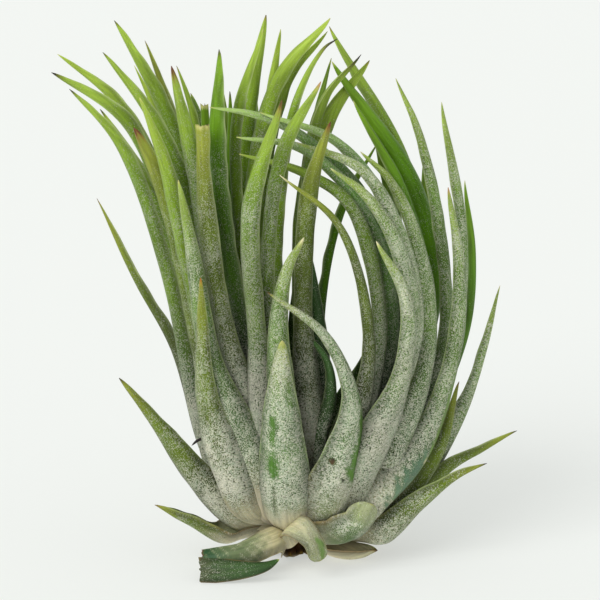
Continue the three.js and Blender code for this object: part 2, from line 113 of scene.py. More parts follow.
def place_piece(name, surfaces, node, finish):
    """One mesh from several surfaces, each a dict of points, faces, uv and painted values.

    Points go from millimetres to metres, and each surface's faces are shifted past the
    points that came before. The piece rides on the plant and stands for its CAD node.
    """
    parts = {key: [surface[key] for surface in surfaces] for key in surfaces[0]}
    points, colour = np.concatenate(parts["points"]) / MM, np.concatenate(parts["colour"])
    first = np.cumsum([0, *map(len, parts["points"])])
    faces = []
    for kind in ("quads", "caps"):
        for corners, start in zip(parts[kind], first):
            faces += (corners + start).tolist()
    mesh = bpy.data.meshes.new(name)
    mesh.from_pydata(points.tolist(), [], faces)
    mesh.polygons.foreach_set("use_smooth", np.ones(len(mesh.polygons), dtype=bool))
    uv = np.concatenate([part.reshape(-1, 2) for part in parts["quad_uv"] + parts["cap_uv"]])
    mesh.uv_layers.new(name="grain").data.foreach_set("uv", uv.ravel().astype(np.float32))
    # A leaf's fourth painted value is its painted shade; where a surface has none it stays 1.
    painted = np.ones((len(points), 4), dtype=np.float32)
    painted[:, :colour.shape[1]] = colour
    layer = mesh.attributes.new("leaf_colour", "FLOAT_COLOR", "POINT")
    layer.data.foreach_set("color", painted.ravel())
    layer = mesh.attributes.new("scurf", "FLOAT", "POINT")
    layer.data.foreach_set("value", np.concatenate(parts["scurf"]).astype(np.float32))
    mesh.materials.append(finish)
    mesh.validate()
    piece = bpy.data.objects.new(name, mesh)
    bpy.context.scene.collection.objects.link(piece)
    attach(piece, "root")
    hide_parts(node)


def node_maker(material):
    """A short way to add a node with its input values and links, as one call."""
    tree = material.node_tree

    def add(kind, inputs=(), **settings):
        node = tree.nodes.new(kind)
        for key, value in settings.items():
            setattr(node, key, value)
        for key, value in dict(inputs).items():
            if isinstance(value, bpy.types.NodeSocket):
                tree.links.new(value, node.inputs[key])
            else:
                node.inputs[key].default_value = value
        return node

    return add


def new_finish(name):
    """An empty node material, its shader and its maker of nodes."""
    material = bpy.data.materials.new(name)
    material.use_nodes = True
    return material, material.node_tree.nodes["Principled BSDF"], node_maker(material)


def rgba(colour):
    """A display colour as four linear values for a socket."""
    return (*linear(colour), 1.0)


def bark_finish():
    """Dry bark: dark and light brown mixed by a stretched noise that also raises it."""
    material, shader, add = new_finish("dry_bark")
    link = material.node_tree.links.new
    place = add("ShaderNodeTexCoord")
    stretch = add("ShaderNodeMapping", {"Vector": place.outputs["Object"], "Scale": BARK_GRAIN})
    grain = add("ShaderNodeTexNoise", {"Vector": stretch.outputs[0], "Scale": 1.0, "Detail": 6.0})
    tint = add("ShaderNodeValToRGB", {"Fac": grain.outputs["Fac"]})
    tint.color_ramp.elements[0].position = 0.38
    tint.color_ramp.elements[0].color = rgba(BARK_DARK)
    tint.color_ramp.elements[1].position = 0.72
    tint.color_ramp.elements[1].color = rgba(BARK_LIGHT)
    raised = {"Height": grain.outputs["Fac"], "Strength": 0.8, "Distance": 0.0003}
    bump = add("ShaderNodeBump", raised)
    link(tint.outputs["Color"], shader.inputs["Base Color"])
    link(bump.outputs["Normal"], shader.inputs["Normal"])
    shader.inputs["Roughness"].default_value = 0.9
    shader.inputs["Specular IOR Level"].default_value = 0.2
    return material


def stem_surface():
    """A leaning turned stump: radius by height from a profile, with a relief of leaf scars.

    radius = profile(height) + relief * (scar + fine), and the relief fades out at the foot.
    scar = |sin(pi * height / scar height)| * sin(scars * angle + row * turn). fine is a sine
    of many flutes round the stem, swayed and faded in and out by sines of the height.
    """
    height = np.linspace(0, STEM_HEIGHT + STEM_TOP, STEM_ROWS)[:, None]
    angle = np.linspace(0, 2 * np.pi, STEM_SIDES, endpoint=False)[None, :]
    share = height / STEM_HEIGHT
    profile_share = [0, 0.25, 0.6, 1, 1.05]
    profile_radius = [FOOT_RADIUS, STEM_RADIUS, STEM_RADIUS, NECK_SHARE * STEM_RADIUS, TIP_RADIUS]
    radius = np.interp(share, profile_share, profile_radius)
    row = height / SCAR_HEIGHT
    scar = np.sin(SCARS_ROUND * angle + SCAR_TURN * np.floor(row)) * np.abs(np.sin(np.pi * row))
    fine = FLUTE_SHARE * np.sin(FLUTES * angle + 2.2 * np.sin(3 * height)) * np.sin(5 * height)
    radius = radius + BARK_RELIEF * (scar + fine) * smoothstep(height, 0.1, 1.2)
    x = radius * np.cos(angle) + STEM_LEAN * share
    y = radius * np.sin(angle)
    rings = np.stack([x, y, np.broadcast_to(height, x.shape)], axis=-1)
    points, quads, caps = closed_tube(rings)
    return {
        "points": points,
        "quads": quads,
        "caps": caps,
        "quad_uv": np.zeros((len(quads), 4, 2)),
        "cap_uv": np.zeros((len(caps), 3, 2)),
        "colour": np.tile(linear(BARK_DARK), (len(points), 1)),
        "scurf": np.zeros(len(points)),
    }


place_piece("stem_bark", [stem_surface()], "stem_and_heart", bark_finish())


# ---------------------------------------------------------------------------------------
# Heart: the youngest leaves, which stand upright in the middle on the stem's tip. Like all
# the plant's leaves they are tough channelled blades on a broad thin sheath, green under a
# coat of silvery scales, with a pale thin margin and a tip that dries first.

# The sizes of a leaf where its row doesn't give them, and of its mesh.
TIP_WIDTH = 0.16
SHEATH_THICKNESS, BLADE_THICKNESS, TIP_THICKNESS, BLUNT_THICKNESS = 1.3, 0.9, 0.16, 0.6
SHEATH_CHANNEL, BLADE_CHANNEL = 0.36, 0.3  # depth of the channel by the width
ROOT_SHARE, ROOT_END = 0.5, 11.0
SHEATH_START, SHEATH_END = 20.0, 55.0
SHORT_START, SHORT_END = 0.33, 0.85
TWIST_START, TWIST_END = 12.0, 48.0
POINT_LENGTH, POINT_SHARE, POINT_POWER = 17.0, 0.3, 0.6
BLUNT_SHARE = {"cut": 0.9, "blunt": 0.7, "round": 0.7}  # of the width, left at such an end
KNEE_OUT, KNEE_UP = 0.7, 0.33
TOP_WHORL, WHORL_STEP = 2, 0.9
ROOT_PLACE = 0.9
RING_STEP, LEAST_RINGS = 0.8, 28
AROUND = 28
CURVE_STEPS = 48
FLOOR_CLEARANCE = 0.04

# The relief of a leaf: its height, and the width from which a blade has all of it.
RIBS, RIB_HEIGHT, RIB_WIDTH = 5, 0.035, 4.0
SHEATH_RELIEF = 0.16
MARGIN_WAVER, WAVER_WIDTH = 0.16, 3.0
WIDTH_WAVER = 0.035  # as a share of the width
FULL_THICKNESS_WIDTH = 1.6
RIM_BAND, RIM_FADE = (0.72, 0.96), (10, 16)
TORN_LENGTH, TORN_COARSE, TORN_FINE = 2.5, 0.55, 0.25
GRAIN_STEP, GRAIN_PLACES = 37.0, 23  # how far apart leaves lie on the pattern of their scales

# What a leaf looks like from its base to its tip, before its scales: display colours of the
# sheath, the middle, the blade and the point, then how thick the scales lie on the sheath
# and on the blade, and the share of the length past which they thin out.
TONES = {
    "silver": dict(sheath=(140, 132, 98), middle=(74, 100, 50), blade=(100, 134, 48),
        point=(144, 166, 70), coat=(0.94, 0.66), bare=0.84),
    "green": dict(sheath=(118, 116, 78), middle=(64, 92, 30), blade=(116, 150, 32),
        point=(150, 176, 62), coat=(0.9, 0.32), bare=0.72),
    "deep": dict(sheath=(100, 104, 64), middle=(44, 74, 18), blade=(88, 134, 12),
        point=(114, 152, 30), coat=(0.82, 0.14), bare=0.7),
    "lime": dict(sheath=(124, 120, 80), middle=(74, 104, 32), blade=(132, 164, 42),
        point=(156, 180, 62), coat=(0.9, 0.34), bare=0.72),
    "olive": dict(sheath=(116, 110, 72), middle=(72, 84, 32), blade=(102, 122, 28),
        point=(136, 144, 50), coat=(0.84, 0.3), bare=0.75),
    "blue": dict(sheath=(122, 122, 94), middle=(62, 92, 46), blade=(104, 148, 62),
        point=(160, 188, 104), coat=(0.92, 0.46), bare=0.86),
    "frosted": dict(sheath=(150, 142, 110), middle=(92, 116, 72), blade=(96, 126, 68),
        point=(146, 158, 84), coat=(0.94, 0.76), bare=0.92),
    "beige": dict(sheath=(184, 174, 132), middle=(170, 166, 128), blade=(166, 168, 130),
        point=(158, 164, 120), coat=(0.5, 0.55), bare=0.97),
    # shaded is a dark green with painted shade in it, for leaves low among the others.
    "shaded": dict(sheath=(74, 84, 52), middle=(62, 86, 44), blade=(54, 82, 40),
        point=(58, 92, 40), coat=(0.8, 0.5), bare=0.55),
    "dead": dict(sheath=(84, 58, 34), middle=(70, 46, 26), blade=(58, 38, 24),
        point=(110, 84, 44), coat=(0.0, 0.0), bare=0.5),
}
# A dried tip's colours: where it has begun to dry, and where it is gone.
DRIED = {
    "black": ((104, 92, 40), (38, 30, 30)),
    "brown": ((146, 122, 56), (92, 60, 36)),
    "red": ((140, 104, 50), (104, 50, 36)),
    "pink": ((190, 172, 100), (182, 134, 100)),
    "cream": ((196, 198, 124), (222, 214, 168)),
    "pale": ((166, 180, 84), (186, 184, 110)),
    "orange": ((180, 150, 58), (170, 104, 42)),
}
MARGIN = (190, 200, 148)
INNER = (64, 98, 22)
IVORY = (214, 204, 168)
# Brown of the sheaths' low margins: a crust, with painted shade where the sheaths overlap.
CRUST_AND_SHADE = (120, 86, 46)
SCALE_PALE = (234, 230, 210)
SCALE_GREY = (168, 182, 156)
SCALE_LILAC = (194, 186, 172)
DIRT = (50, 44, 30)

# Where colours and scales change along a leaf and across it, each as start and end, in
# millimetres from the root, as a share of the length or as a share of half the width.
FULL_LENGTH = 90.0  # a shorter leaf changes nearer to its root, in proportion
SHEATH_FADE, BLADE_FADE, POINT_FADE = (14, 34), (36, 64), (0.74, 0.98)
IVORY_FADE, INNER_FADE, INNER_STRENGTH = (7, 23), (0.05, 0.3), 0.6
INNER_TURN = (-0.1, 0.5)
LOW_FADE = (25, 60)  # margins get stronger over it, and the rolled edges' painted shade lighter
MARGIN_BAND, MARGIN_LOW, MARGIN_HIGH = (0.86, 0.99), 0.3, 0.65
RIM_LIGHT_BAND = (0.8, 0.92)
CRUST_AND_SHADE_BAND, CRUST_AND_SHADE_FADE, CRUST_AND_SHADE_STRENGTH = (0.88, 0.98), (14, 32), 0.75
COAT_FADE, COAT_START, COAT_LEAST, COAT_MOST = (16, 56), (9, 24), 0.35, 0.95
BARE_RUN, BARE_STRENGTH = 0.2, 0.75
# Painted shade: on the rolled edges between these shares of the half width, as dark as ROLL_LOW
# low down and ROLL_HIGH higher up; the row's shade on the lower part until SHADE_FADE of the
# length; and on the inner face.
ROLL_START, ROLL_END, ROLL_LOW, ROLL_HIGH = (0.45, 0.93), (0.96, 1), 0.5, 0.3
SHADE_FADE = (0.58, 0.92)
INNER_SHADE = 0.15


def spline(points):
    """A centripetal Catmull-Rom curve through points, and its length at each sample.

    Each span is a cubic whose end slopes come from its neighbours, spaced by the square
    root of their distances, and the end spans are extended straight on.
    """
    points = np.asarray(points, dtype=float)
    first, last = 2 * points[0] - points[1], 2 * points[-1] - points[-2]
    all_points = np.concatenate([first[None], points, last[None]])
    a, b, c, d = all_points[:-3], all_points[1:-2], all_points[2:-1], all_points[3:]
    before, span, after = (
        np.linalg.norm(q - p, axis=1, keepdims=True) ** 0.5 for p, q in ((a, b), (b, c), (c, d))
    )
    start = ((b - a) / before - (c - a) / (before + span) + (c - b) / span) * span
    end = ((c - b) / span - (d - b) / (span + after) + (d - c) / after) * span
    t = np.linspace(0, 1, CURVE_STEPS, endpoint=False)[None, :, None]
    b, c, start, end = b[:, None], c[:, None], start[:, None], end[:, None]
    cubic = 2 * b - 2 * c + start + end
    square = -3 * b + 3 * c - 2 * start - end
    samples = (b + start * t + square * t**2 + cubic * t**3).reshape(-1, 3)
    samples = np.concatenate([samples, points[-1:]])
    length = np.concatenate([[0], np.cumsum(np.linalg.norm(np.diff(samples, axis=0), axis=1))])
    return samples, length


def stem_root(leaf):
    """Where a leaf leaves the stem: on the leaning stem's side, at its whorl and angle."""
    angle = math.radians(leaf["at"])
    height = STEM_HEIGHT - WHORL_STEP * (leaf["whorl"] - TOP_WHORL)
    reach = ROOT_PLACE * STEM_RADIUS
    lean = STEM_LEAN * height / STEM_HEIGHT
    return np.array([lean + reach * math.cos(angle), reach * math.sin(angle), height])


def keel(leaf):
    """The leaf's keel from its root: even samples, directions and distances.

    A leaf of the stem has a knee between its root and its first point, out before it is up.
    """
    if "root" in leaf:
        start = [leaf["root"]]
    else:
        root, knee = stem_root(leaf), np.array([KNEE_OUT, KNEE_OUT, KNEE_UP])
        start = [root, mix(root, np.array(leaf["via"][0]), knee)]
    samples, length = spline([*start, *leaf["via"]])
    rows = max(LEAST_RINGS, round(length[-1] / leaf.get("step", RING_STEP)))
    distance = np.linspace(0, length[-1], rows)
    path = np.stack([np.interp(distance, length, samples[:, k]) for k in range(3)], axis=1)
    direction = np.gradient(path, axis=0)
    return path, direction / np.linalg.norm(direction, axis=1, keepdims=True), distance


def outer_face(leaf, direction, distance):
    """Which way the leaf's outer face looks at each ring, square to the keel.

    It looks down at the root, is carried along the keel with no turn of its own, and then
    takes the leaf's turn at the root and its twist past the sheath.
    """
    carried = np.array([0.0, 0.0, -1.0])
    face = np.empty_like(direction)
    for i, along in enumerate(direction):
        carried = carried - along * (carried @ along)
        carried = carried / np.linalg.norm(carried)
        face[i] = carried
    twisted = smoothstep(distance, TWIST_START, TWIST_END)
    angle = np.radians(mix(leaf.get("turn", 0), leaf.get("twist", 0), twisted))[:, None]
    return face * np.cos(angle) + np.cross(direction, face) * np.sin(angle)


def leaf_width(leaf, distance):
    """Width by distance: a narrow root, a broad sheath that fades into the blade, a tip.

    A point narrows by a power of what is left of its length, and a round end as a circle.
    """
    length = distance[-1]
    start, end = min(SHEATH_START, SHORT_START * length), min(SHEATH_END, SHORT_END * length)
    sheath = 1 - smoothstep(distance, start, end)
    root = mix(leaf.get("foot", ROOT_SHARE), 1, smoothstep(distance, 0, min(ROOT_END, start)))
    left = (length - distance) / leaf.get("point", min(POINT_LENGTH, POINT_SHARE * length))
    tip = leaf.get("tip", "point")
    point = np.maximum(BLUNT_SHARE.get(tip, 0), np.minimum(1, left) ** POINT_POWER)
    width = mix(leaf["blade"], leaf["sheath"], sheath) * root * point
    if tip == "round":
        rest = np.clip((length - distance) / (0.5 * width[-1]), 0, 1)
        width = width * np.sqrt(np.maximum(1 - (1 - rest) ** 2, 0.004))
    return np.maximum(TIP_WIDTH, width)


def ripple(value, seed, scale):
    """A smooth random wave: four sines of seeded pitch and phase, from about -1 to 1."""
    draw = np.random.default_rng(seed)
    pitch = draw.uniform(0.5, 1.6, 4) * 2 * np.pi / scale
    phase = draw.uniform(0, 2 * np.pi, 4)
    return sum(np.sin(value * p + q) for p, q in zip(pitch, phase)) / 3


def lay(colour, over, share):
    """The colour with a display colour laid over it, by the share at each point."""
    return mix(colour, linear(over), share[..., None])


def paint_leaf(leaf, distance, across, outer, seed):
    """Colour and painted shade, and thickness of the scale coat, at each point of a leaf.

    From the base up: a bare ivory root, the sheath under its closest coat, the middle, the
    blade and the paler point, each laid over the last by a smooth step. The inner face is
    greener and barer, and the margins are thin and pale, and brown low down with a crust and
    painted shade where the sheaths overlap. The coat is rubbed off in the leaf's own patches,
    some of which are painted shade. Painted shade darkens the rolled edges, the inner face
    and, by the row's shade, the lower part of the leaf.
    """
    tone, lined = TONES[leaf["tone"]], leaf.get("lined", 0)
    length = distance[-1, 0]
    share = distance / length
    aside = np.abs(across)
    within = smoothstep(-outer, *INNER_TURN)
    at = distance + 3 * ripple(distance, seed, 26) + 2.5 * ripple(across * 3, seed + 12, 3)
    full_at = at / min(1.0, length / FULL_LENGTH)
    high = smoothstep(at, *LOW_FADE)

    colour = lay(linear(tone["sheath"]), tone["middle"], smoothstep(full_at, *SHEATH_FADE))
    colour = lay(colour, tone["blade"], smoothstep(full_at, *BLADE_FADE))
    colour = lay(colour, tone["point"], smoothstep(share, *POINT_FADE))
    if "root" not in leaf:
        colour = lay(colour, IVORY, 1 - smoothstep(at, *IVORY_FADE))
    inner = INNER_STRENGTH * (1 - lined) * within * smoothstep(share, *INNER_FADE)
    colour = lay(colour, INNER, inner)
    edge = smoothstep(aside, *MARGIN_BAND) * mix(MARGIN_LOW, MARGIN_HIGH, high)
    edge = edge * (1 - 0.6 * smoothstep(share, 0.85, 1))
    edge = np.maximum(edge, smoothstep(aside, *RIM_LIGHT_BAND) * min(1, 2 * leaf.get("rim", 0)))
    colour = lay(colour, MARGIN, edge)
    # The sheaths' low margins turn brown: a crust, and painted shade where the sheaths overlap.
    crust_and_shade = CRUST_AND_SHADE_STRENGTH * smoothstep(aside, *CRUST_AND_SHADE_BAND) * (1 - smoothstep(at, *CRUST_AND_SHADE_FADE))
    colour = lay(colour, CRUST_AND_SHADE, crust_and_shade)
    broad = 0.16 * ripple(distance, seed + 7, 18)
    small = 0.12 * ripple(distance + 9 * across, seed + 9, 6)
    colour = colour * (1 + broad + small)[..., None]

    coat = mix(*tone["coat"], smoothstep(full_at, *COAT_FADE)) * leaf.get("coat", 1.0)
    coat = np.minimum(coat, COAT_MOST) * mix(COAT_LEAST, 1, smoothstep(at, *COAT_START))
    bare = leaf.get("bare", tone["bare"])
    coat = coat * (1 - BARE_STRENGTH * smoothstep(share, bare, bare + BARE_RUN))
    coat = coat * mix(1, mix(0.5, 1, lined), within)
    coat = coat * (1 - 0.5 * smoothstep(aside, MARGIN_BAND[0], 1))

    # Patches where the coat is rubbed off, laid in the patch's colour. The cut leaf's dark green
    # lower half is partly painted shade, and a thin line on front_leaf_4 is the painted shade of a
    # crease.
    for middle, side, long, wide, strength, rubbed_and_shaded in leaf.get("rubbed_and_shaded", ()):
        near = ((distance - middle) / long) ** 2 + ((across - side) / wide) ** 2
        near = near + 0.4 * ripple(distance + 5 * across, seed + 3, 4)
        near = near + 0.5 * ripple(3 * distance - 7 * across, seed, 5)
        patch = strength * (1 - smoothstep(near, 0, 1.3)) * (outer * leaf.get("seen", 1) > 0)
        colour, coat = lay(colour, rubbed_and_shaded, patch), coat * (1 - patch)
    for middle, side, size, name in leaf.get("spots", ()):
        near = np.hypot(distance - middle, (across - side) * 0.5 * leaf["sheath"]) / size
        spot = (1 - smoothstep(near, 0.5, 1.1)) * (outer > 0)
        colour, coat = lay(colour, DRIED[name][1], spot), coat * (1 - spot)

    dry, dried = leaf.get("dry", 1.0), DRIED[leaf.get("dried", "pale")]
    left = length - distance + 0.3 * dry * ripple(3 * across, seed + 5, 2.2)
    begun = 0.8 * (1 - smoothstep(left, 0.5 * dry, 1.6 * dry))
    gone = 1 - smoothstep(left, 0.35 * dry, 0.8 * dry)
    colour = lay(lay(colour, dried[0], begun), dried[1], gone)
    coat = coat * (1 - begun)

    # Painted shade, kept in the colour's fourth value: darker rolled edges, the row's shade on the
    # lower part and a darker inner face, with a faint random swing of brightness.
    rolled = smoothstep(aside, *ROLL_START) * (1 - smoothstep(aside, *ROLL_END))
    shade = 1 - rolled * mix(ROLL_LOW, ROLL_HIGH, high) * (1 - smoothstep(share, 0.8, 1))
    shade = shade * mix(leaf.get("shade", 1.0), 1, smoothstep(share, *SHADE_FADE))
    shade = shade * (1 - INNER_SHADE * within)
    shade = shade * (1 + 0.1 * ripple(distance - 6 * across, seed + 11, 12))
    return np.concatenate([colour, shade[..., None]], axis=-1), np.clip(coat, 0, 1)


def leaf_surface(leaf, seed):
    """A leaf as a closed tube round its keel.

    At each ring, across = cos(turn) and outer = sin(turn) run round a flat ellipse of the
    leaf's width and thickness, which is bent into a channel by channel * across². Long
    faint ribs lift the outer face, the sheath has a broad soft relief, the margins waver a
    little, and nothing goes below the surface that the plant stands on. A cut, blunt or
    free end is torn by two waves along the keel.
    """
    path, direction, distance = keel(leaf)
    around, tip, fold = leaf.get("around", AROUND), leaf.get("tip", "point"), leaf.get("fold")
    out = outer_face(leaf, direction, distance)[:, None]
    side = np.cross(direction, out[:, 0])[:, None]
    length, far = distance[-1], distance[:, None]
    turn = -0.5 * np.pi + 2 * np.pi * np.arange(around)[None, :] / around
    across, outer = np.cos(turn) + 0 * far, np.sin(turn) + 0 * far
    aside, on_face = np.abs(across), outer > 0.2
    width = leaf_width(leaf, distance) * (1 + WIDTH_WAVER * ripple(distance, seed + 1, 22))
    width = width[:, None]
    blade = smoothstep(far, SHEATH_START, SHEATH_END)
    channel = width * (mix(SHEATH_CHANNEL, BLADE_CHANNEL, blade) if fold is None else fold)
    thin = TIP_THICKNESS if tip == "point" else BLUNT_THICKNESS
    body = mix(SHEATH_THICKNESS, BLADE_THICKNESS, blade)
    half = mix(body, thin, smoothstep(far / length, 0.8, 1)) / 2
    half = half * np.minimum(1, width / FULL_THICKNESS_WIDTH)
    ribs = RIB_HEIGHT * np.cos(across * np.pi * RIBS + ripple(far, seed + 2, 40))
    relief = SHEATH_RELIEF * (1 - blade) * ripple(across * 3 + far / 14, seed + 10, 2.6)
    relief = (ribs + relief) * on_face * np.minimum(1, width / RIB_WIDTH)
    waver = MARGIN_WAVER * ripple(far + 20 * np.sign(across), seed + 4, 9) * aside**3
    waver = waver * np.minimum(1, width / WAVER_WIDTH)
    rim = leaf.get("rim", 0) * smoothstep(aside, *RIM_BAND) * smoothstep(far, *RIM_FADE)
    lift = outer * (half + rim) + relief - channel * across**2 + waver
    rings = path[:, None] + side * (across * width / 2)[..., None] + out * lift[..., None]
    if tip in ("cut", "blunt") or "foot" in leaf:
        torn = TORN_COARSE * ripple(3 * turn, seed + 6, 2.4)
        torn = torn + TORN_FINE * ripple(9 * turn, seed + 8, 2.4)
        free = 1 - smoothstep(far, 0, TORN_LENGTH)
        end = free if "foot" in leaf else smoothstep(far, length - TORN_LENGTH, length)
        rings = rings + direction[:, None] * (torn * end)[..., None]
    rings[..., 2] = np.maximum(rings[..., 2], FLOOR_CLEARANCE)
    points, quads, caps = closed_tube(rings)

    colour, coat = paint_leaf(leaf, far, across, outer, seed)
    ends = [colour[0].mean(0)[None], colour[-1].mean(0)[None]]
    colour = np.concatenate([colour.reshape(-1, 4), *ends])
    coat = np.concatenate([coat.ravel(), [coat[0].mean(), coat[-1].mean()]])

    # The grain lies flat on the outer face and runs on round each margin to the inner face.
    seam = -0.5 * np.pi + 2 * np.pi * np.arange(around + 1) / around
    behind = np.where(np.arange(around + 1) * 2 < around, 2, -2) - np.cos(seam)
    reach = np.where(np.sin(seam) > 0, np.cos(seam), behind)
    sideways = reach[None, :] * width / 2
    grain = np.stack([sideways, np.broadcast_to(far, sideways.shape)], axis=-1)
    grain = grain + GRAIN_STEP * (seed % GRAIN_PLACES)
    quad_uv = np.stack([grain[:-1, :-1], grain[:-1, 1:], grain[1:, 1:], grain[1:, :-1]], axis=2)
    start = np.stack([grain[0, :-1] * 0 + grain[0].mean(0), grain[0, 1:], grain[0, :-1]], axis=1)
    end = np.stack([grain[-1, :-1] * 0 + grain[-1].mean(0), grain[-1, :-1], grain[-1, 1:]], axis=1)
    return {
        "points": points,
        "quads": quads,
        "caps": caps,
        "quad_uv": quad_uv.reshape(-1, 4, 2),
        "cap_uv": np.concatenate([start, end]),
        "colour": np.clip(colour, 0, 1),
        "scurf": coat,
    }


# The scales and specks on a leaf: cells in a millimetre across and along the leaf, and how
# far three random terms carry a scale's edge, by their noise cells in a millimetre.
SCALES, SPECKS, STREAKS = (4.4, 3.6, 1), (0.62, 0.5, 1), (2.2, 0.1, 1)
OWN_SWING, FINE_SWING, BROAD_SWING = 0.4, 0.44, 0.56
FINE_NOISE, BROAD_NOISE, TINT_NOISE = 1.3, 0.2, 0.12
SCALE_RELIEF = 0.0001  # metres


def leaf_finish(name):
    """Leaf tissue under scales, by the leaf's own length and width in its UV map.

    Cells of a Voronoi pattern are the scales, about a quarter of a millimetre across. Each
    is shown out to a distance that grows with the painted coat and with three random terms:
    the scale's own, a fine noise and a broad noise. So they lie close on the sheath, part
    into dots on the blade and leave gaps. The same mask raises them. Larger, sparser cells
    are the specks of dirt among them, and a noise drawn out along the leaf streaks it.
    """
    material, shader, add = new_finish(name)
    link = material.node_tree.links.new

    def math_node(kind, a, b):
        return add("ShaderNodeMath", {0: a, 1: b}, operation=kind).outputs[0]

    def noise(scale, detail=2.0, place=None):
        inputs = {"Vector": place or grain, "Scale": scale, "Detail": detail}
        return add("ShaderNodeTexNoise", inputs, noise_dimensions="2D").outputs["Fac"]

    def swing(value, size):
        return math_node("MULTIPLY", math_node("SUBTRACT", value, 0.5), size)

    def stretched(cells):
        return add("ShaderNodeMapping", {"Vector": grain, "Scale": cells}).outputs[0]

    def cell_pattern(cells):
        inputs = {"Vector": stretched(cells), "Scale": 1.0}
        return add("ShaderNodeTexVoronoi", inputs, voronoi_dimensions="2D").outputs

    def between(value, start, end, low, high):
        ends = {"From Min": start, "From Max": end, "To Min": low, "To Max": high}
        return add("ShaderNodeMapRange", {"Value": value, **ends}).outputs[0]

    def blend(share, a, b):
        return add("ShaderNodeMix", {0: share, 6: a, 7: b}, data_type="RGBA").outputs[2]

    def times(a, b):
        return add("ShaderNodeVectorMath", {0: a, 1: b}, operation="MULTIPLY").outputs[0]

    grain = add("ShaderNodeUVMap", uv_map="grain").outputs[0]
    painted = add("ShaderNodeAttribute", attribute_name="leaf_colour").outputs
    coat = add("ShaderNodeAttribute", attribute_name="scurf").outputs["Fac"]
    cells = cell_pattern(SCALES)
    own = add("ShaderNodeSeparateColor", {"Color": cells["Color"]}).outputs
    reach = math_node("MULTIPLY", coat, 0.78)
    reach = math_node("ADD", reach, swing(own[1], OWN_SWING))
    reach = math_node("ADD", reach, swing(noise(FINE_NOISE), FINE_SWING))
    reach = math_node("ADD", reach, swing(noise(BROAD_NOISE), BROAD_SWING))
    reach = math_node("MULTIPLY", reach, between(coat, 0.0, 0.12, 0.0, 1.0))
    scale = between(math_node("SUBTRACT", reach, cells["Distance"]), -0.04, 0.1, 0.0, 1.0)

    streak = noise(1.0, 3.0, stretched(STREAKS))
    tissue = times(painted["Color"], between(streak, 0.3, 0.7, 0.82, 1.16))
    thick = between(coat, 0.7, 0.9, 0.0, 1.0)
    lilac = math_node("MULTIPLY", between(noise(TINT_NOISE), 0.42, 0.6, 0.0, 0.6), thick)
    scale_tint = blend(lilac, rgba(SCALE_GREY), rgba(SCALE_LILAC))
    clear = between(coat, 0.3, 0.85, 0.42, 0.14)
    flake = blend(clear, blend(own[0], scale_tint, rgba(SCALE_PALE)), tissue)
    coated = blend(math_node("MULTIPLY", scale, 0.92), tissue, flake)
    speck = between(cell_pattern(SPECKS)["Distance"], 0.06, 0.12, 0.8, 0.0)
    dusty = blend(math_node("MULTIPLY", speck, coat), coated, rgba(DIRT))
    # The fourth painted value is painted shade, and it darkens the scales as much as the tissue.
    link(times(dusty, painted["Alpha"]), shader.inputs["Base Color"])
    link(between(scale, 0.0, 1.0, 0.44, 0.88), shader.inputs["Roughness"])
    height = math_node("ADD", scale, math_node("MULTIPLY", streak, 0.4))
    bump = add("ShaderNodeBump", {"Height": height, "Strength": 0.8, "Distance": SCALE_RELIEF})
    link(bump.outputs["Normal"], shader.inputs["Normal"])
    shader.inputs["Specular IOR Level"].default_value = 0.25
    shader.inputs["Subsurface Weight"].default_value = 0.1
    shader.inputs["Subsurface Radius"].default_value = (0.6, 1.0, 0.25)
    shader.inputs["Subsurface Scale"].default_value = 0.0008
    return material


LEAF = leaf_finish("scaled_leaf")
grown = 0


def grow(name, leaves, node):
    """Grows the leaves of one piece, each with a seed of its own, and places the piece."""
    global grown
    surfaces = []
    for leaf in leaves:
        grown += 1
        surfaces.append(leaf_surface(leaf, 100 * grown))
    place_piece(name, surfaces, node, LEAF)


# A leaf's row, in millimetres and degrees. It leaves the stem at a whorl and an angle (at),
# or starts at a root of its own, as wide there as foot says. It is turned at the root (turn)
# and past the sheath (twist), is as wide as sheath and blade say, and its keel passes the
# points of via. fold is the depth of its channel by its width, point the length of its
# point, and tip the kind of end that it has in place of a point. Its look is a tone, whose
# coat of scales the row makes thicker or thinner, and bare past some share of its length.
# shade darkens or lightens its lower part, as painted shade and its own dullness, lined gives
# its inner face the look of the outer one, rim raises its margins, and dried and dry are its
# dried tip's colour and length. Patches, mostly rubbed bare and a few of painted shade, lie
# at (distance, side, length, width, strength, colour), on the face that seen says, spots lie
# at (distance, side, size, colour), and step and around set the mesh.
HEART = [
    dict(whorl=4, at=175, twist=60, blade=2.6, sheath=5, tip="blunt", tone="deep", dry=0.05,
        via=[[-11.5, -2, 50], [-17, -6, 81.5], [-18, -8.5, 100]]),
    dict(whorl=3, at=170, twist=60, blade=2.4, sheath=4, tone="deep", dried="black", dry=1.5,
        via=[[-9.5, 0, 52], [-12.5, -1, 80.5], [-12.6, -4.5, 102.5]]),
    dict(whorl=4, at=150, twist=70, blade=3.4, sheath=6, tone="green", dried="brown",
        via=[[-7.5, 1, 42.5], [-9.5, 1.5, 69], [-9, 3.5, 96], [-5, 3.5, 117.5]]),
    dict(whorl=3, at=110, twist=90, blade=2.8, sheath=5, tone="lime",
        via=[[-5, 7, 43], [-6.5, 11, 73.5], [-4.5, 15, 98], [-2, 15.5, 112.5]]),
    dict(whorl=3, at=-80, blade=3.6, sheath=5, tone="lime", lined=1,
        via=[[-3.5, 2, 44], [-6, 3, 79.5], [-1, 3.5, 103.5], [8, 3.5, 114]]),
    dict(whorl=3, at=60, twist=-90, blade=2.6, sheath=4.5, tone="green",
        via=[[1.5, 6, 43], [4, 10, 76], [6.5, 13, 95], [9, 13.5, 106.5]]),
]
grow("heart_leaves", HEART, "stem_and_heart")


# ---------------------------------------------------------------------------------------
# Back of the rosette: the leaves behind the heart, which the photograph doesn't show. They
# are like those of the fans, fused at their roots into a left and a right bunch, and each
# bunch has one low leaf that touches the surface.

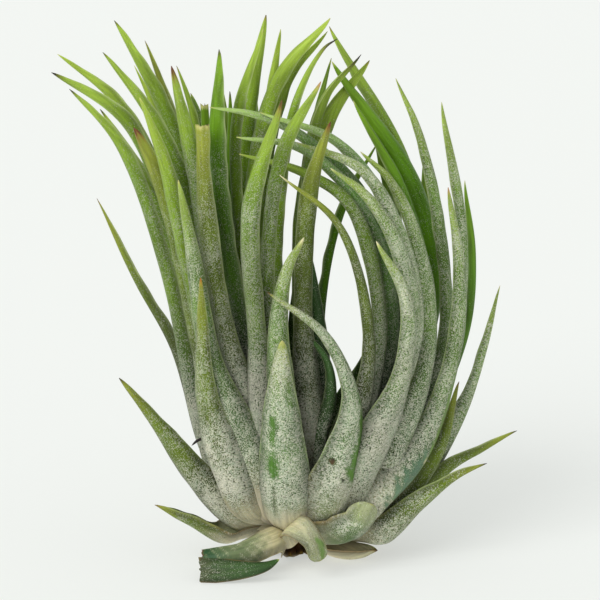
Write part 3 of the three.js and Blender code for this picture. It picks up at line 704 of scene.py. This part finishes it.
BACK_LEFT = [
    dict(whorl=8.8, at=124, blade=4.2, sheath=10, tone="silver",
        via=[[-10, 13, 26], [-13, 19, 55], [-17, 24, 79], [-22, 29, 96]]),
    dict(whorl=10.6, at=107, blade=4.2, sheath=10, tone="green", dried="brown",
        via=[[-5, 17, 20], [-9, 24, 47], [-12, 30, 71], [-14, 35, 87]]),
    dict(whorl=11, at=140, blade=4.2, sheath=10, tone="silver", dried="black",
        via=[[-14, 14, 20], [-20, 19, 49], [-24, 22, 71], [-30, 26, 89]]),
    dict(whorl=9.6, at=97, blade=4, sheath=8, tone="green",
        via=[[-2, 13.5, 28], [-6, 17.5, 57], [-8, 20, 81], [-8, 26, 98]]),
    dict(whorl=8, at=112, blade=3.8, sheath=7, tone="lime",
        via=[[-6, 11, 32], [-10, 15, 60], [-14, 18, 84], [-15.5, 21, 101]]),
    dict(whorl=12, at=128, blade=5, sheath=10, tone="olive", dried="brown", dry=3,
        via=[[-7, 12, 2.6], [-10, 17, 0.8], [-13, 23, 3]]),
]
BACK_RIGHT = [
    dict(whorl=11.2, at=48, blade=4.2, sheath=10, tone="silver", dried="brown",
        via=[[14, 13, 19], [21, 20, 45], [24, 24, 66], [22, 28, 83]]),
    dict(whorl=10.4, at=34, blade=4.2, sheath=9, tone="green",
        via=[[20, 15, 23], [27, 20, 47], [30.5, 22, 66], [30, 25, 84]]),
    dict(whorl=10.4, at=66, blade=4.2, sheath=9, tone="silver", dried="red", dry=2,
        via=[[10, 16, 18], [20, 24, 38], [25, 29, 52], [29, 33, 60]]),
    dict(whorl=9.6, at=54, blade=3.6, sheath=8, tone="lime",
        via=[[15, 12, 27], [22, 16, 52], [23, 17, 72], [18, 19, 92]]),
    dict(whorl=11.4, at=22, blade=4, sheath=9, tone="silver", dried="brown",
        via=[[23, 9, 12], [31, 13, 27], [35.5, 14, 43]]),
    dict(whorl=12, at=62, blade=5, sheath=10, tone="olive", dried="brown", dry=3,
        via=[[9, 12, 2.6], [13, 18, 0.8], [17, 24, 2.6]]),
]
grow("back_left_bunch", BACK_LEFT, "back_leaves_left")
grow("back_right_bunch", BACK_RIGHT, "back_leaves_right")


# ---------------------------------------------------------------------------------------
# Left fan: slender leaves that lean out to the left, the outer ones dull and scaly and the
# inner ones a clear green, most with a tip that has dried dark.

LEFT_FAN = {
    "left_leaf_1": dict(whorl=9, at=168, twist=35, point=35, blade=4.4, sheath=9, tone="olive",
        coat=1.1, shade=0.55, dried="brown", dry=1.5, slot="outer_leaf",
        via=[[-19, 4, 21], [-25.5, 6, 43.5], [-33.5, 8, 58.5], [-42, 11.5, 76]]),
    "left_leaf_2": dict(whorl=9, at=-176, twist=35, point=20, blade=4.2, sheath=9, tone="green",
        coat=1.35, shade=0.66, dried="black", dry=1.6, slot="outer_leaf",
        via=[[-20, -3, 28], [-27, -5, 64], [-36, -8, 91.5], [-46, -10, 104]]),
    "left_leaf_3": dict(whorl=8, at=178, twist=35, blade=3.8, sheath=7, tone="green", coat=1.2,
        shade=0.8, dried="black", dry=1.8, slot="outer_leaf",
        via=[[-20, 0, 36], [-26, 1.5, 67.5], [-32.5, 1.5, 84], [-40.4, 1.5, 97.6]]),
    "left_leaf_4": dict(whorl=8, at=166, twist=50, blade=4.6, sheath=7.5, tone="green",
        dried="black", dry=2.2,
        via=[[-19.5, 4, 44], [-27, 5.5, 73.5], [-35.5, 6.5, 93.5], [-51, 7, 104.5]]),
    "left_leaf_5": dict(whorl=8, at=152, twist=50, blade=4.2, sheath=8, tone="lime", shade=0.85,
        via=[[-19.5, 9, 46], [-28.5, 13, 79.5], [-37.5, 16.5, 95.5], [-50.5, 18.5, 106.5]]),
    "left_leaf_6": dict(whorl=8, at=-168, twist=40, point=9, blade=4.2, sheath=7, tone="olive",
        dried="red", dry=2.6,
        via=[[-20, -8, 48], [-24.5, -11, 72], [-28, -12.5, 85.5], [-32.5, -13.5, 96.5]]),
    "left_leaf_7": dict(whorl=8, at=-155, twist=40, blade=3.4, sheath=8, tone="lime", coat=1.25,
        shade=0.72, slot="outer_leaf",
        via=[[-18, -11, 46], [-23.5, -15, 75], [-26.5, -17, 90.5], [-31, -17, 103.5]]),
    "left_leaf_8": dict(whorl=6, at=-172, twist=40, blade=3.8, sheath=6.5, tone="green",
        coat=1.3, dried="black",
        via=[[-17, -3, 48], [-21.5, -6, 79.5], [-29, -8, 97], [-39, -8.5, 111.5]]),
    "left_leaf_9": dict(whorl=6, at=176, twist=40, point=30, blade=3.4, sheath=6, tone="lime",
        via=[[-16.5, 0.5, 49], [-22.5, 1.5, 80], [-28, 1.5, 95], [-33, 1.5, 107]]),
    "left_leaf_10": dict(whorl=6, at=160, twist=60, blade=4.4, sheath=7, tone="green",
        dried="black", dry=1.2,
        via=[[-16, 5.5, 48], [-21.5, 7.5, 80], [-28, 8.5, 97], [-37.5, 8.5, 115.5]]),
    "left_leaf_11": dict(whorl=6, at=143, twist=50, blade=3.8, sheath=7, tone="olive",
        dried="brown",
        via=[[-15, 10.5, 46], [-20.5, 14.5, 77.5], [-26.5, 18, 94.5], [-31.5, 18.5, 109.5]]),
    "left_leaf_12": dict(whorl=6, at=-160, twist=50, blade=3.8, sheath=6.5, tone="green",
        coat=1.9, shade=0.88, dried="red", dry=3,
        via=[[-14.5, -6.5, 40], [-17, -9, 62], [-20, -12, 85], [-24.5, -13.5, 109.5]]),
    "left_leaf_13": dict(whorl=5, at=165, twist=50, blade=3.2, sheath=6, tone="green",
        dried="brown",
        via=[[-13, 5, 48], [-18.5, 3.5, 82], [-21, 2, 96.5], [-24, 1, 107]]),
    "low_left_leaf_1": dict(whorl=10, at=-150, turn=35, twist=40, blade=3.6, sheath=8,
        tone="olive", coat=1.5, shade=0.9, dried="black", dry=1.4, slot="outer_leaf",
        via=[[-13.5, -12, 11], [-21.5, -15, 22], [-28.5, -16, 33], [-36, -17.5, 43.5]]),
    "low_left_leaf_2": dict(whorl=11, at=-170, twist=10, fold=0.34, blade=4.8, sheath=9,
        tone="olive", coat=1.5, shade=1.1, dried="brown", slot="outer_leaf",
        via=[[-14.5, -8, 4.4], [-21.5, -11, 9.4], [-29, -13, 14]]),
}


def grow_each(leaves, slot="inner_leaf", **mesh):
    """Grows each leaf of a table as a piece of its own, for the CAD node of its name."""
    for name, leaf in leaves.items():
        grow(name + "_grown", [{**mesh, **leaf}], name)


grow_each(LEFT_FAN)


# ---------------------------------------------------------------------------------------
# Front: five leaves whose broad silvery bases make the face of the bulb. Two are short, one
# hooks over to the left, and their scales are rubbed off in places down to the green.

FRONT = {
    "front_leaf_1": dict(whorl=9, at=-128, twist=20, point=30, blade=4.4, sheath=11,
        tone="silver", coat=0.8, shade=0.9, dry=1.2,
        rubbed_and_shaded=[(15, 0, 7, 1.5, 0.5, (206, 196, 176))],
        via=[[-8.5, -17, 22], [-17, -18, 48.5], [-20.5, -20, 72], [-23, -21.5, 87]]),
    "front_leaf_2": dict(whorl=9, at=-142, twist=20, point=35, blade=5.2, sheath=11,
        tone="olive", coat=1.8, shade=0.95, dried="orange", dry=1.6,
        via=[[-14, -17.5, 21], [-18, -19.5, 39.5], [-18.5, -21, 55], [-18.5, -22.5, 66.5]]),
    "front_leaf_3": dict(whorl=9, at=-88, point=30, blade=5.2, sheath=8, tone="silver",
        coat=0.85, shade=0.95, dried="cream", dry=2,
        via=[[-2, -19.5, 37], [-2.5, -22, 57], [-0.5, -23.5, 68.5], [3, -24.5, 75.5]]),
    "front_leaf_4": dict(whorl=10, at=-95, blade=7.4, sheath=12, tone="frosted", shade=1.06,
        dry=1.5,
        rubbed_and_shaded=[(38.5, -0.36, 4.5, 0.2, 0.9, (76, 114, 40)),
                (30, -0.34, 3.6, 0.26, 0.95, (70, 112, 32)),
                (46, 0.6, 4, 0.3, 0.5, (84, 112, 50)), (14.5, 0, 5.5, 1.6, 0.5, (214, 206, 184)),
                # The last patch is a thin dark line of painted shade, the shade of a crease.
                (22, -0.3, 5, 0.07, 0.7, (86, 90, 62))],
        via=[[-1.5, -21.5, 20], [-2, -23, 33.5], [-2, -23.5, 44], [-1.5, -24.5, 53.5]]),
    "front_leaf_5": dict(whorl=10, at=-62, point=50, blade=4.4, sheath=12, tone="frosted",
        coat=0.93, shade=0.94, dried="brown",
        rubbed_and_shaded=[(31, 0.6, 6, 0.5, 1, (82, 124, 36)), (37, 0.72, 8, 0.3, 1, (78, 120, 32)),
                (20, -0.3, 5, 0.4, 0.4, (110, 126, 70))],
        spots=[(31.2, -0.6, 0.9, "brown"), (31.5, -0.64, 0.5, "black"),
               (27.5, -0.05, 0.6, "black")],
        via=[[10.5, -20.5, 20], [13.5, -22, 39], [7.5, -24.5, 54.5], [-4.5, -27, 64.5]]),
}
grow_each(FRONT, "outer_leaf", step=0.5, around=40)


# ---------------------------------------------------------------------------------------
# Middle: tall upright leaves in front of the heart. Some end in a black thread where the tip
# has dried, one has a torn blunt end, and the inner ones, darkened with painted shade, show
# dark between the others.

MIDDLE = {
    "middle_leaf_1": dict(whorl=7, at=-128, twist=10, blade=4.8, sheath=8, tip="blunt",
        tone="olive", coat=1.7, shade=0.62, dry=0.12, slot="outer_leaf",
        via=[[-9.5, -13.5, 33], [-15, -16, 57], [-18, -17, 79.5], [-18.5, -18, 97.5]]),
    "middle_leaf_2": dict(whorl=6, at=-120, blade=5.4, sheath=7, tone="deep", coat=2.2,
        shade=0.6, dried="black", dry=1.4,
        via=[[-8.5, -9.5, 37], [-12.5, -10.5, 61], [-16.1, -13, 92.5], [-14.6, -13.5, 113]]),
    "middle_leaf_3": dict(whorl=5, at=-115, twist=15, blade=3.6, sheath=6, tone="green",
        shade=0.75,
        via=[[-7.5, -6, 40.5], [-11, -7.5, 71], [-11.5, -8, 98], [-5.5, -8.5, 116.5]]),
    "middle_leaf_4": dict(whorl=5, at=-95, twist=50, blade=3.8, sheath=6, tone="lime", shade=0.8,
        via=[[-5.5, -4, 43.5], [-8.5, -6, 81.5], [-2.5, -7, 106], [8.5, -7, 118.5]]),
    "middle_leaf_5": dict(whorl=8, at=-107, point=24, blade=4.6, sheath=9, tone="green",
        coat=1.9, shade=0.6, dried="brown", dry=3, slot="outer_leaf",
        via=[[-6.5, -16, 29], [-7.5, -18.5, 52.5], [-8.5, -23, 81], [-1.5, -25, 104.5]]),
    "middle_leaf_6": dict(whorl=7, at=-92, blade=3.4, sheath=7, tone="green", coat=1.8,
        shade=0.78, dried="pink", dry=2, slot="outer_leaf",
        via=[[-3.5, -13.5, 37.5], [-5, -16.5, 69], [-1.5, -19, 93], [6.5, -20.5, 107.5]]),
    "middle_leaf_7": dict(whorl=5, at=-75, point=28, blade=3, sheath=6, tone="green", shade=0.85,
        lined=1, dried="black", dry=4.5,
        via=[[-2.3, -8, 40.5], [-2.8, -8.5, 75.5], [1, -9, 101], [7, -9, 112.5], [10, -9, 114.5]]),
    "middle_leaf_8": dict(whorl=5, at=-50, twist=-60, blade=3.2, sheath=6, tone="lime", lined=1,
        dried="black", dry=4,
        via=[[2, -4, 39.5], [2.3, -4.5, 79], [6.6, -5, 100.5], [15, -5, 110.5]]),
    "middle_leaf_9": dict(whorl=5, at=-20, twist=-40, blade=3.8, sheath=6, tone="lime", lined=1,
        dried="brown",
        via=[[3, 0.5, 38], [2.5, 3, 75.5], [8, 5, 95], [17, 5, 107.5]]),
    "middle_leaf_10": dict(whorl=7, at=-72, blade=4, sheath=8, tone="olive", coat=1.3, shade=0.6,
        dried="red", dry=2.2, slot="outer_leaf",
        via=[[4.5, -14, 29], [3, -16.5, 58], [4.5, -19, 84.5], [8.5, -20, 99]]),
    "middle_leaf_11": dict(whorl=6, at=20, twist=-60, blade=3.2, sheath=6, tone="deep",
        dried="black", dry=1.8,
        via=[[7, 2.5, 33], [7.4, 4, 55], [11.5, 5.5, 74.5], [19, 8, 89]]),
    "middle_leaf_12": dict(whorl=8, at=-52, blade=2.4, sheath=5, tone="shaded", coat=1.1,
        dried="brown",
        via=[[6.4, -14, 29], [8.8, -14.5, 38], [8, -15.5, 46.5], [3.5, -14.5, 52.5]]),
    "middle_leaf_13": dict(whorl=6, at=-48, twist=-20, blade=3, sheath=5, tone="shaded",
        shade=0.7, dried="brown",
        via=[[6.5, -9, 29.5], [7, -9, 41], [6, -9, 54], [4.5, -10.5, 68.5]]),
}
grow_each(MIDDLE)


# ---------------------------------------------------------------------------------------
# Arching leaves: they rise on the right and bow over to the left across the middle, with a
# window of light left under them. The outer ones are thickly scaled with cream tips.

ARCHING = {
    "arching_leaf_1": dict(whorl=6, at=-12, twist=-30, point=35, blade=3.4, sheath=6,
        tone="blue", shade=0.85,
        via=[[20, -2.5, 30], [24.5, -3.5, 55], [17, -5.5, 79], [2, -12, 95.2], [-7.5, -15, 99.8],
             [-16.5, -17, 101.5]]),
    "arching_leaf_2": dict(whorl=6, at=6, twist=-30, point=35, blade=3.6, sheath=6.5,
        tone="blue", shade=0.85,
        via=[[24, 0.5, 33.5], [28, -3, 57], [22.5, -3.5, 75.5], [10, -12, 93.5], [-6, -15, 100]]),
    "arching_leaf_3": dict(whorl=6, at=-28, twist=-30, point=35, blade=3.4, sheath=6,
        tone="blue", shade=0.8,
        via=[[18, -7, 29], [22.5, -8, 54], [15.5, -11, 79], [3, -13.5, 92], [-11, -16, 95]]),
    "arching_leaf_4": dict(whorl=7, at=-18, twist=-30, point=35, blade=4, sheath=7,
        tone="silver", coat=1.1, shade=0.9, dried="cream", slot="outer_leaf",
        via=[[21, -7.5, 28.5], [27.5, -11, 52.5], [23.5, -14.5, 74], [15.5, -16, 88],
             [1.5, -16.5, 94]]),
    "arching_leaf_5": dict(whorl=7, at=-40, twist=-30, point=35, blade=3.4, sheath=7,
        tone="green", coat=1.7, shade=0.66,
        via=[[16, -11.5, 30], [19.5, -12, 54.5], [13, -14, 80], [3, -13.5, 87], [-10.5, -14, 91]]),
    "arching_leaf_6": dict(whorl=8, at=-28, twist=-30, point=32, blade=4.2, sheath=8,
        tone="silver", coat=1.05, shade=0.92, dried="cream", slot="outer_leaf",
        via=[[20.5, -10.5, 27.5], [26.5, -14, 55.5], [22.5, -18.5, 73], [16, -20, 83.5],
             [8.5, -21.5, 89.5]]),
    "arching_leaf_7": dict(whorl=8, at=-50, twist=-20, point=45, blade=2.8, sheath=7,
        tone="olive", coat=1.35, shade=0.7, dried="cream", dry=3, slot="outer_leaf",
        via=[[14.5, -15.5, 29.5], [17, -17, 52], [10.5, -21, 77], [-2, -23.5, 88.5]]),
    "arching_leaf_8": dict(whorl=9, at=-42, twist=-20, point=45, blade=5.6, sheath=12,
        tone="silver", coat=1.2, shade=0.8, dried="cream", dry=1.4, slot="outer_leaf", step=0.5,
        around=40,
        via=[[16.5, -17.5, 22], [24.5, -19, 46], [24.5, -21, 61.5], [18, -23.5, 74.5]]),
}
grow_each(ARCHING)


# ---------------------------------------------------------------------------------------
# Right fan: tall saturated green leaves at the back of it, greyer ones outside them, and
# two low leaves that stretch out to the right just above the surface.

RIGHT_FAN = {
    "right_leaf_1": dict(whorl=9, at=-22, twist=-40, point=32, blade=4.2, sheath=9,
        tone="silver", coat=0.9, dried="cream", slot="outer_leaf",
        via=[[23, -12, 24], [30, -8, 47.5], [27.5, -7, 70], [21.5, -5.5, 83.5], [15, -4, 89.5]]),
    "right_leaf_2": dict(whorl=6, at=20, twist=-50, blade=2.8, sheath=6, tone="deep",
        via=[[24, 5, 30], [30, 2.5, 55.5], [25, 0, 79], [13.5, -1.5, 100]]),
    "right_leaf_3": dict(whorl=7, at=26, twist=-75, point=26, blade=4.4, sheath=7.5, tone="deep",
        coat=0.8, shade=1.4,
        via=[[24, 9.5, 27], [32, 7, 55], [27.5, 5, 79.5], [9, 3.5, 107.5]]),
    "right_leaf_4": dict(whorl=7, at=38, twist=-50, blade=4.2, sheath=7.5, tone="green",
        dried="brown",
        via=[[22, 13, 29], [31.5, 13, 57.5], [25.5, 11.5, 84.5], [8.5, 10, 114]]),
    "right_leaf_5": dict(whorl=7, at=-4, twist=-45, point=30, blade=3.4, sheath=7, tone="silver",
        coat=0.8, shade=0.8,
        via=[[27, -3, 25.5], [34, -1, 49.5], [32.5, 0, 72.5], [27.5, 0, 93.5], [22.5, 0, 104.5]]),
    "right_leaf_6": dict(whorl=10, at=-25, twist=-45, point=32, blade=4, sheath=11,
        tone="silver", coat=1.02, shade=0.92, dried="pink", dry=1.6, slot="outer_leaf", step=0.5,
        around=40,
        rubbed_and_shaded=[(29, 0.3, 9, 0.8, 0.8, (104, 138, 112)),
                (42, 0.75, 16, 0.4, 0.85, (124, 158, 60))],
        spots=[(35, 0.5, 0.8, "cream")],
        via=[[19.5, -13.5, 13.5], [28, -10.5, 24], [35.5, -7, 46.5], [36.5, -6, 64],
             [33.5, -7.5, 82.5]]),
    "right_leaf_7": dict(whorl=8, at=8, twist=-40, blade=3.4, sheath=7.5, tone="silver", coat=0.9,
        via=[[28.5, 4, 26], [37, 3, 51], [37.5, 4, 72], [32.5, 5, 98.5]]),
    "right_leaf_8": dict(whorl=9, at=20, twist=-40, blade=3.6, sheath=8, tone="deep", coat=0.6,
        shade=0.8,
        via=[[30.5, 9, 24.5], [39, 9, 47.5], [40, 10, 65], [38, 11.5, 80]]),
    "right_leaf_9": dict(whorl=9, at=-8, twist=-45, blade=3.4, sheath=7, tone="olive",
        dried="brown",
        via=[[25, -7, 12], [32.5, -5, 23], [36.5, -4, 39]]),
    "right_leaf_10": dict(whorl=10, at=6, twist=-40, point=30, blade=3.8, sheath=9,
        tone="silver", dried="cream", slot="outer_leaf",
        via=[[30, -1, 16], [38, 1, 31], [42.5, 2, 45.5], [45.5, 3.5, 58.5]]),
    "low_right_leaf_1": dict(whorl=11, at=4, twist=-30, blade=3.8, sheath=9, tone="olive",
        dried="black", dry=1.4, slot="outer_leaf",
        via=[[28, -2, 11], [35, -1, 18.5], [42, 0, 22.5], [49.5, 1, 26.5]]),
    "low_right_leaf_2": dict(whorl=11, at=-26, turn=-50, twist=-35, blade=3.4, sheath=8.5,
        tone="olive", coat=1.7, shade=1.1, dried="black", dry=1.4, slot="outer_leaf", step=0.5,
        around=40,
        via=[[20, -11.5, 5.8], [28, -10.5, 13], [35.5, -9, 18.8], [42.5, -8, 21.8]]),
}
grow_each(RIGHT_FAN)


# ---------------------------------------------------------------------------------------
# Lowest leaves: one folded over and cut short, one curled like a tongue, one broad lip that
# cups the bulb, and one dry leaf that lies on the surface. They are the oldest ones.

LOWEST = {
    "cut_leaf": dict(whorl=12, at=-120, turn=125, twist=180, fold=0.36, blade=6.6, sheath=6.4,
        tip="cut", tone="beige", shade=0.95, dried="brown", dry=0.2,
        # The second patch is the fold's dark green lower half: bare green tissue darkened with
        # painted shade.
        rubbed_and_shaded=[(13, -0.3, 7, 2, 0.85, (208, 198, 154)), (31, -0.5, 11, 1.3, 1, (40, 78, 44)),
                (23, 0.3, 6, 1.5, 0.75, (112, 124, 84))],
        via=[[-1.8, -14.6, 8.2], [-4.6, -18.4, 8.4], [-10.8, -20.6, 6.6], [-18.6, -20.6, 5.8]]),
    "curled_leaf": dict(whorl=12, at=-70, turn=70, twist=70, fold=0.12, blade=6.2, sheath=4.4,
        tip="round", tone="beige", coat=0.8, shade=1.45, lined=1, seen=-1, dry=0.2,
        rubbed_and_shaded=[(26, 0.5, 3.5, 0.35, 0.85, (96, 130, 56)), (14, 0, 6, 3, 0.5, (206, 198, 154))],
        via=[[-0.2, -16.5, 9.8], [2.2, -20.2, 11], [5, -22.4, 8.6], [6.4, -22.8, 4.6]]),
    "lip_leaf": dict(whorl=12, at=-70, turn=-20, twist=-60, fold=0.25, blade=10.4, sheath=9,
        tip="round", tone="frosted", coat=1.1, shade=0.85, bare=1, lined=1, rim=0.4, dry=0.2,
        rubbed_and_shaded=[(18, 0.1, 7, 0.5, 0.7, (86, 112, 62)), (29, 0, 6, 2, 0.7, (160, 164, 134))],
        via=[[6.2, -15.2, 6.8], [10.8, -18.4, 8.2], [14.8, -19.4, 11.4], [17.6, -18.8, 16]]),
    "dry_leaf": dict(whorl=12.5, at=-40, blade=6, sheath=7, tone="beige", coat=0.5, lined=1,
        dried="brown", slot="dry_tissue",
        via=[[7.5, -5.8, 1.8], [12.5, -8.6, 1.2], [19, -9.4, 2.5]]),
}
grow_each(LOWEST, "outer_leaf", step=0.3, around=40)


# ---------------------------------------------------------------------------------------
# Flap: the turned-over half of the cut leaf, of the same tough tissue. It is folded along
# the leaf's middle and shows its dark underside, a green with painted shade, in front of the
# rest.

FLAP = dict(root=[-18.8, -23.4, 3.0], foot=1, turn=-115, twist=-115, fold=0.16, blade=5.4,
    sheath=5.4, point=14, tone="shaded", shade=1.2, dry=0.3, step=0.3, around=40,
    via=[[-10.5, -23.9, 3.1], [-5.2, -23.5, 3.7], [-2.2, -22.4, 4.9]])
grow("cut_leaf_flap", [FLAP], "cut_leaf")


# ---------------------------------------------------------------------------------------
# Dead leaf bases: what is left of the leaves that died before these, as short brown scales
# of dry tissue. They still grow on the stem, round the front of its foot.

DEAD_ROOT, DEAD_ROOT_HEIGHT = 3.1, 2.6  # from the stem's middle, and above the surface
DEAD_REACH = (8, 6.5, 9, 7, 10, 8, 9.5, 7.5, 8.5)


def dead_base(angle, reach):
    """A short leaf that runs straight out from the stem's foot, with a waving height."""
    x, y = math.cos(angle), math.sin(angle)
    return dict(turn=180, twist=180, blade=3.4, sheath=3.8, point=5, foot=0.8, tone="dead",
        dried="brown", dry=0.5, step=0.4, around=16,
        root=[DEAD_ROOT * x + 0.4, DEAD_ROOT * y, DEAD_ROOT_HEIGHT + 0.8 * math.sin(5 * angle)],
        via=[[reach * 0.75 * x, reach * 0.75 * y, 1.5],
             [reach * x, reach * y, 0.8 + 0.7 * math.sin(3 * angle)]])


dead_angles = np.radians(np.arange(-170, 10, 20))
dead_bases = [dead_base(angle, reach) for angle, reach in zip(dead_angles, DEAD_REACH)]
grow("dead_leaf_bases", dead_bases, "stem_and_heart")


# ---------------------------------------------------------------------------------------
# Thread: a strip of an older leaf's dried edge, black and thin as a hair. It has split off
# and sticks out of the bulb's left side.

THREAD = dict(root=[-18.6, -14, 29.2], foot=1, fold=0.05, blade=0.7, sheath=0.7, point=1.5,
    tone="dead", dried="black", dry=6, step=0.2, around=16,
    via=[[-19.8, -14.3, 28.7], [-21, -14.4, 27.6]])
grow("dried_thread", [THREAD], "front_leaf_1")


# ---------------------------------------------------------------------------------------
# Surface, light and camera: a plain pale floor that runs out of sight, an even white sky
# with one broad soft light from the upper left, and a long lens a little above the plant.

FLOOR_SIZE = 6.0
FLOOR_COLOUR = (240, 242, 239)
FLOOR_GLOW = 0.55  # share of the floor's light that no shadow takes away
SKY_COLOUR, SKY_STRENGTH = (0.97, 1.0, 0.98, 1.0), 0.7
SUN_STRENGTH = 1.9
SUN_SPREAD = 40.0
SUN_TILT = (36.0, -40.0)  # away from straight down: towards the front, towards the left

TARGET = (2.196, 0.0, 56.118)
VIEW_DISTANCE = 700.0
VIEW_ELEVATION = 14.0
LENS, SENSOR = 195.0, 36.0

floor_mesh = bpy.data.meshes.new("floor")
half = FLOOR_SIZE / 2
floor_corners = [(-half, -half, 0), (half, -half, 0), (half, half, 0), (-half, half, 0)]
floor_mesh.from_pydata(floor_corners, [], [(0, 1, 2, 3)])
floor = bpy.data.objects.new("floor", floor_mesh)
bpy.context.scene.collection.objects.link(floor)
floor_finish, floor_shader, _ = new_finish("pale_floor")
floor_shader.inputs["Base Color"].default_value = (*((1 - FLOOR_GLOW) * linear(FLOOR_COLOUR)), 1.0)
floor_shader.inputs["Emission Color"].default_value = rgba(FLOOR_COLOUR)
floor_shader.inputs["Emission Strength"].default_value = FLOOR_GLOW
floor_shader.inputs["Roughness"].default_value = 0.9
floor_shader.inputs["Specular IOR Level"].default_value = 0.1
floor_mesh.materials.append(floor_finish)

world = bpy.data.worlds.new("white_sky")
bpy.context.scene.world = world
world.use_nodes = True
sky = world.node_tree.nodes["Background"]
sky.inputs["Color"].default_value = SKY_COLOUR
sky.inputs["Strength"].default_value = SKY_STRENGTH

sun_data = bpy.data.lights.new("soft_light", "SUN")
sun_data.energy = SUN_STRENGTH
sun_data.angle = math.radians(SUN_SPREAD)
sun = bpy.data.objects.new("soft_light", sun_data)
sun.rotation_euler = (math.radians(SUN_TILT[0]), math.radians(SUN_TILT[1]), 0)
bpy.context.scene.collection.objects.link(sun)

camera_data = bpy.data.cameras.new("camera")
camera_data.lens = LENS
camera_data.sensor_width = SENSOR
camera_data.clip_start, camera_data.clip_end = 0.01, 20.0
camera = bpy.data.objects.new("camera", camera_data)
lift = math.radians(VIEW_ELEVATION)
camera.location = (
    TARGET[0] / MM,
    (TARGET[1] - VIEW_DISTANCE * math.cos(lift)) / MM,
    (TARGET[2] + VIEW_DISTANCE * math.sin(lift)) / MM,
)
camera.rotation_euler = (math.radians(90 - VIEW_ELEVATION), 0, 0)
bpy.context.scene.collection.objects.link(camera)
bpy.context.scene.camera = camera
bpy.context.scene.view_settings.view_transform = "Standard"
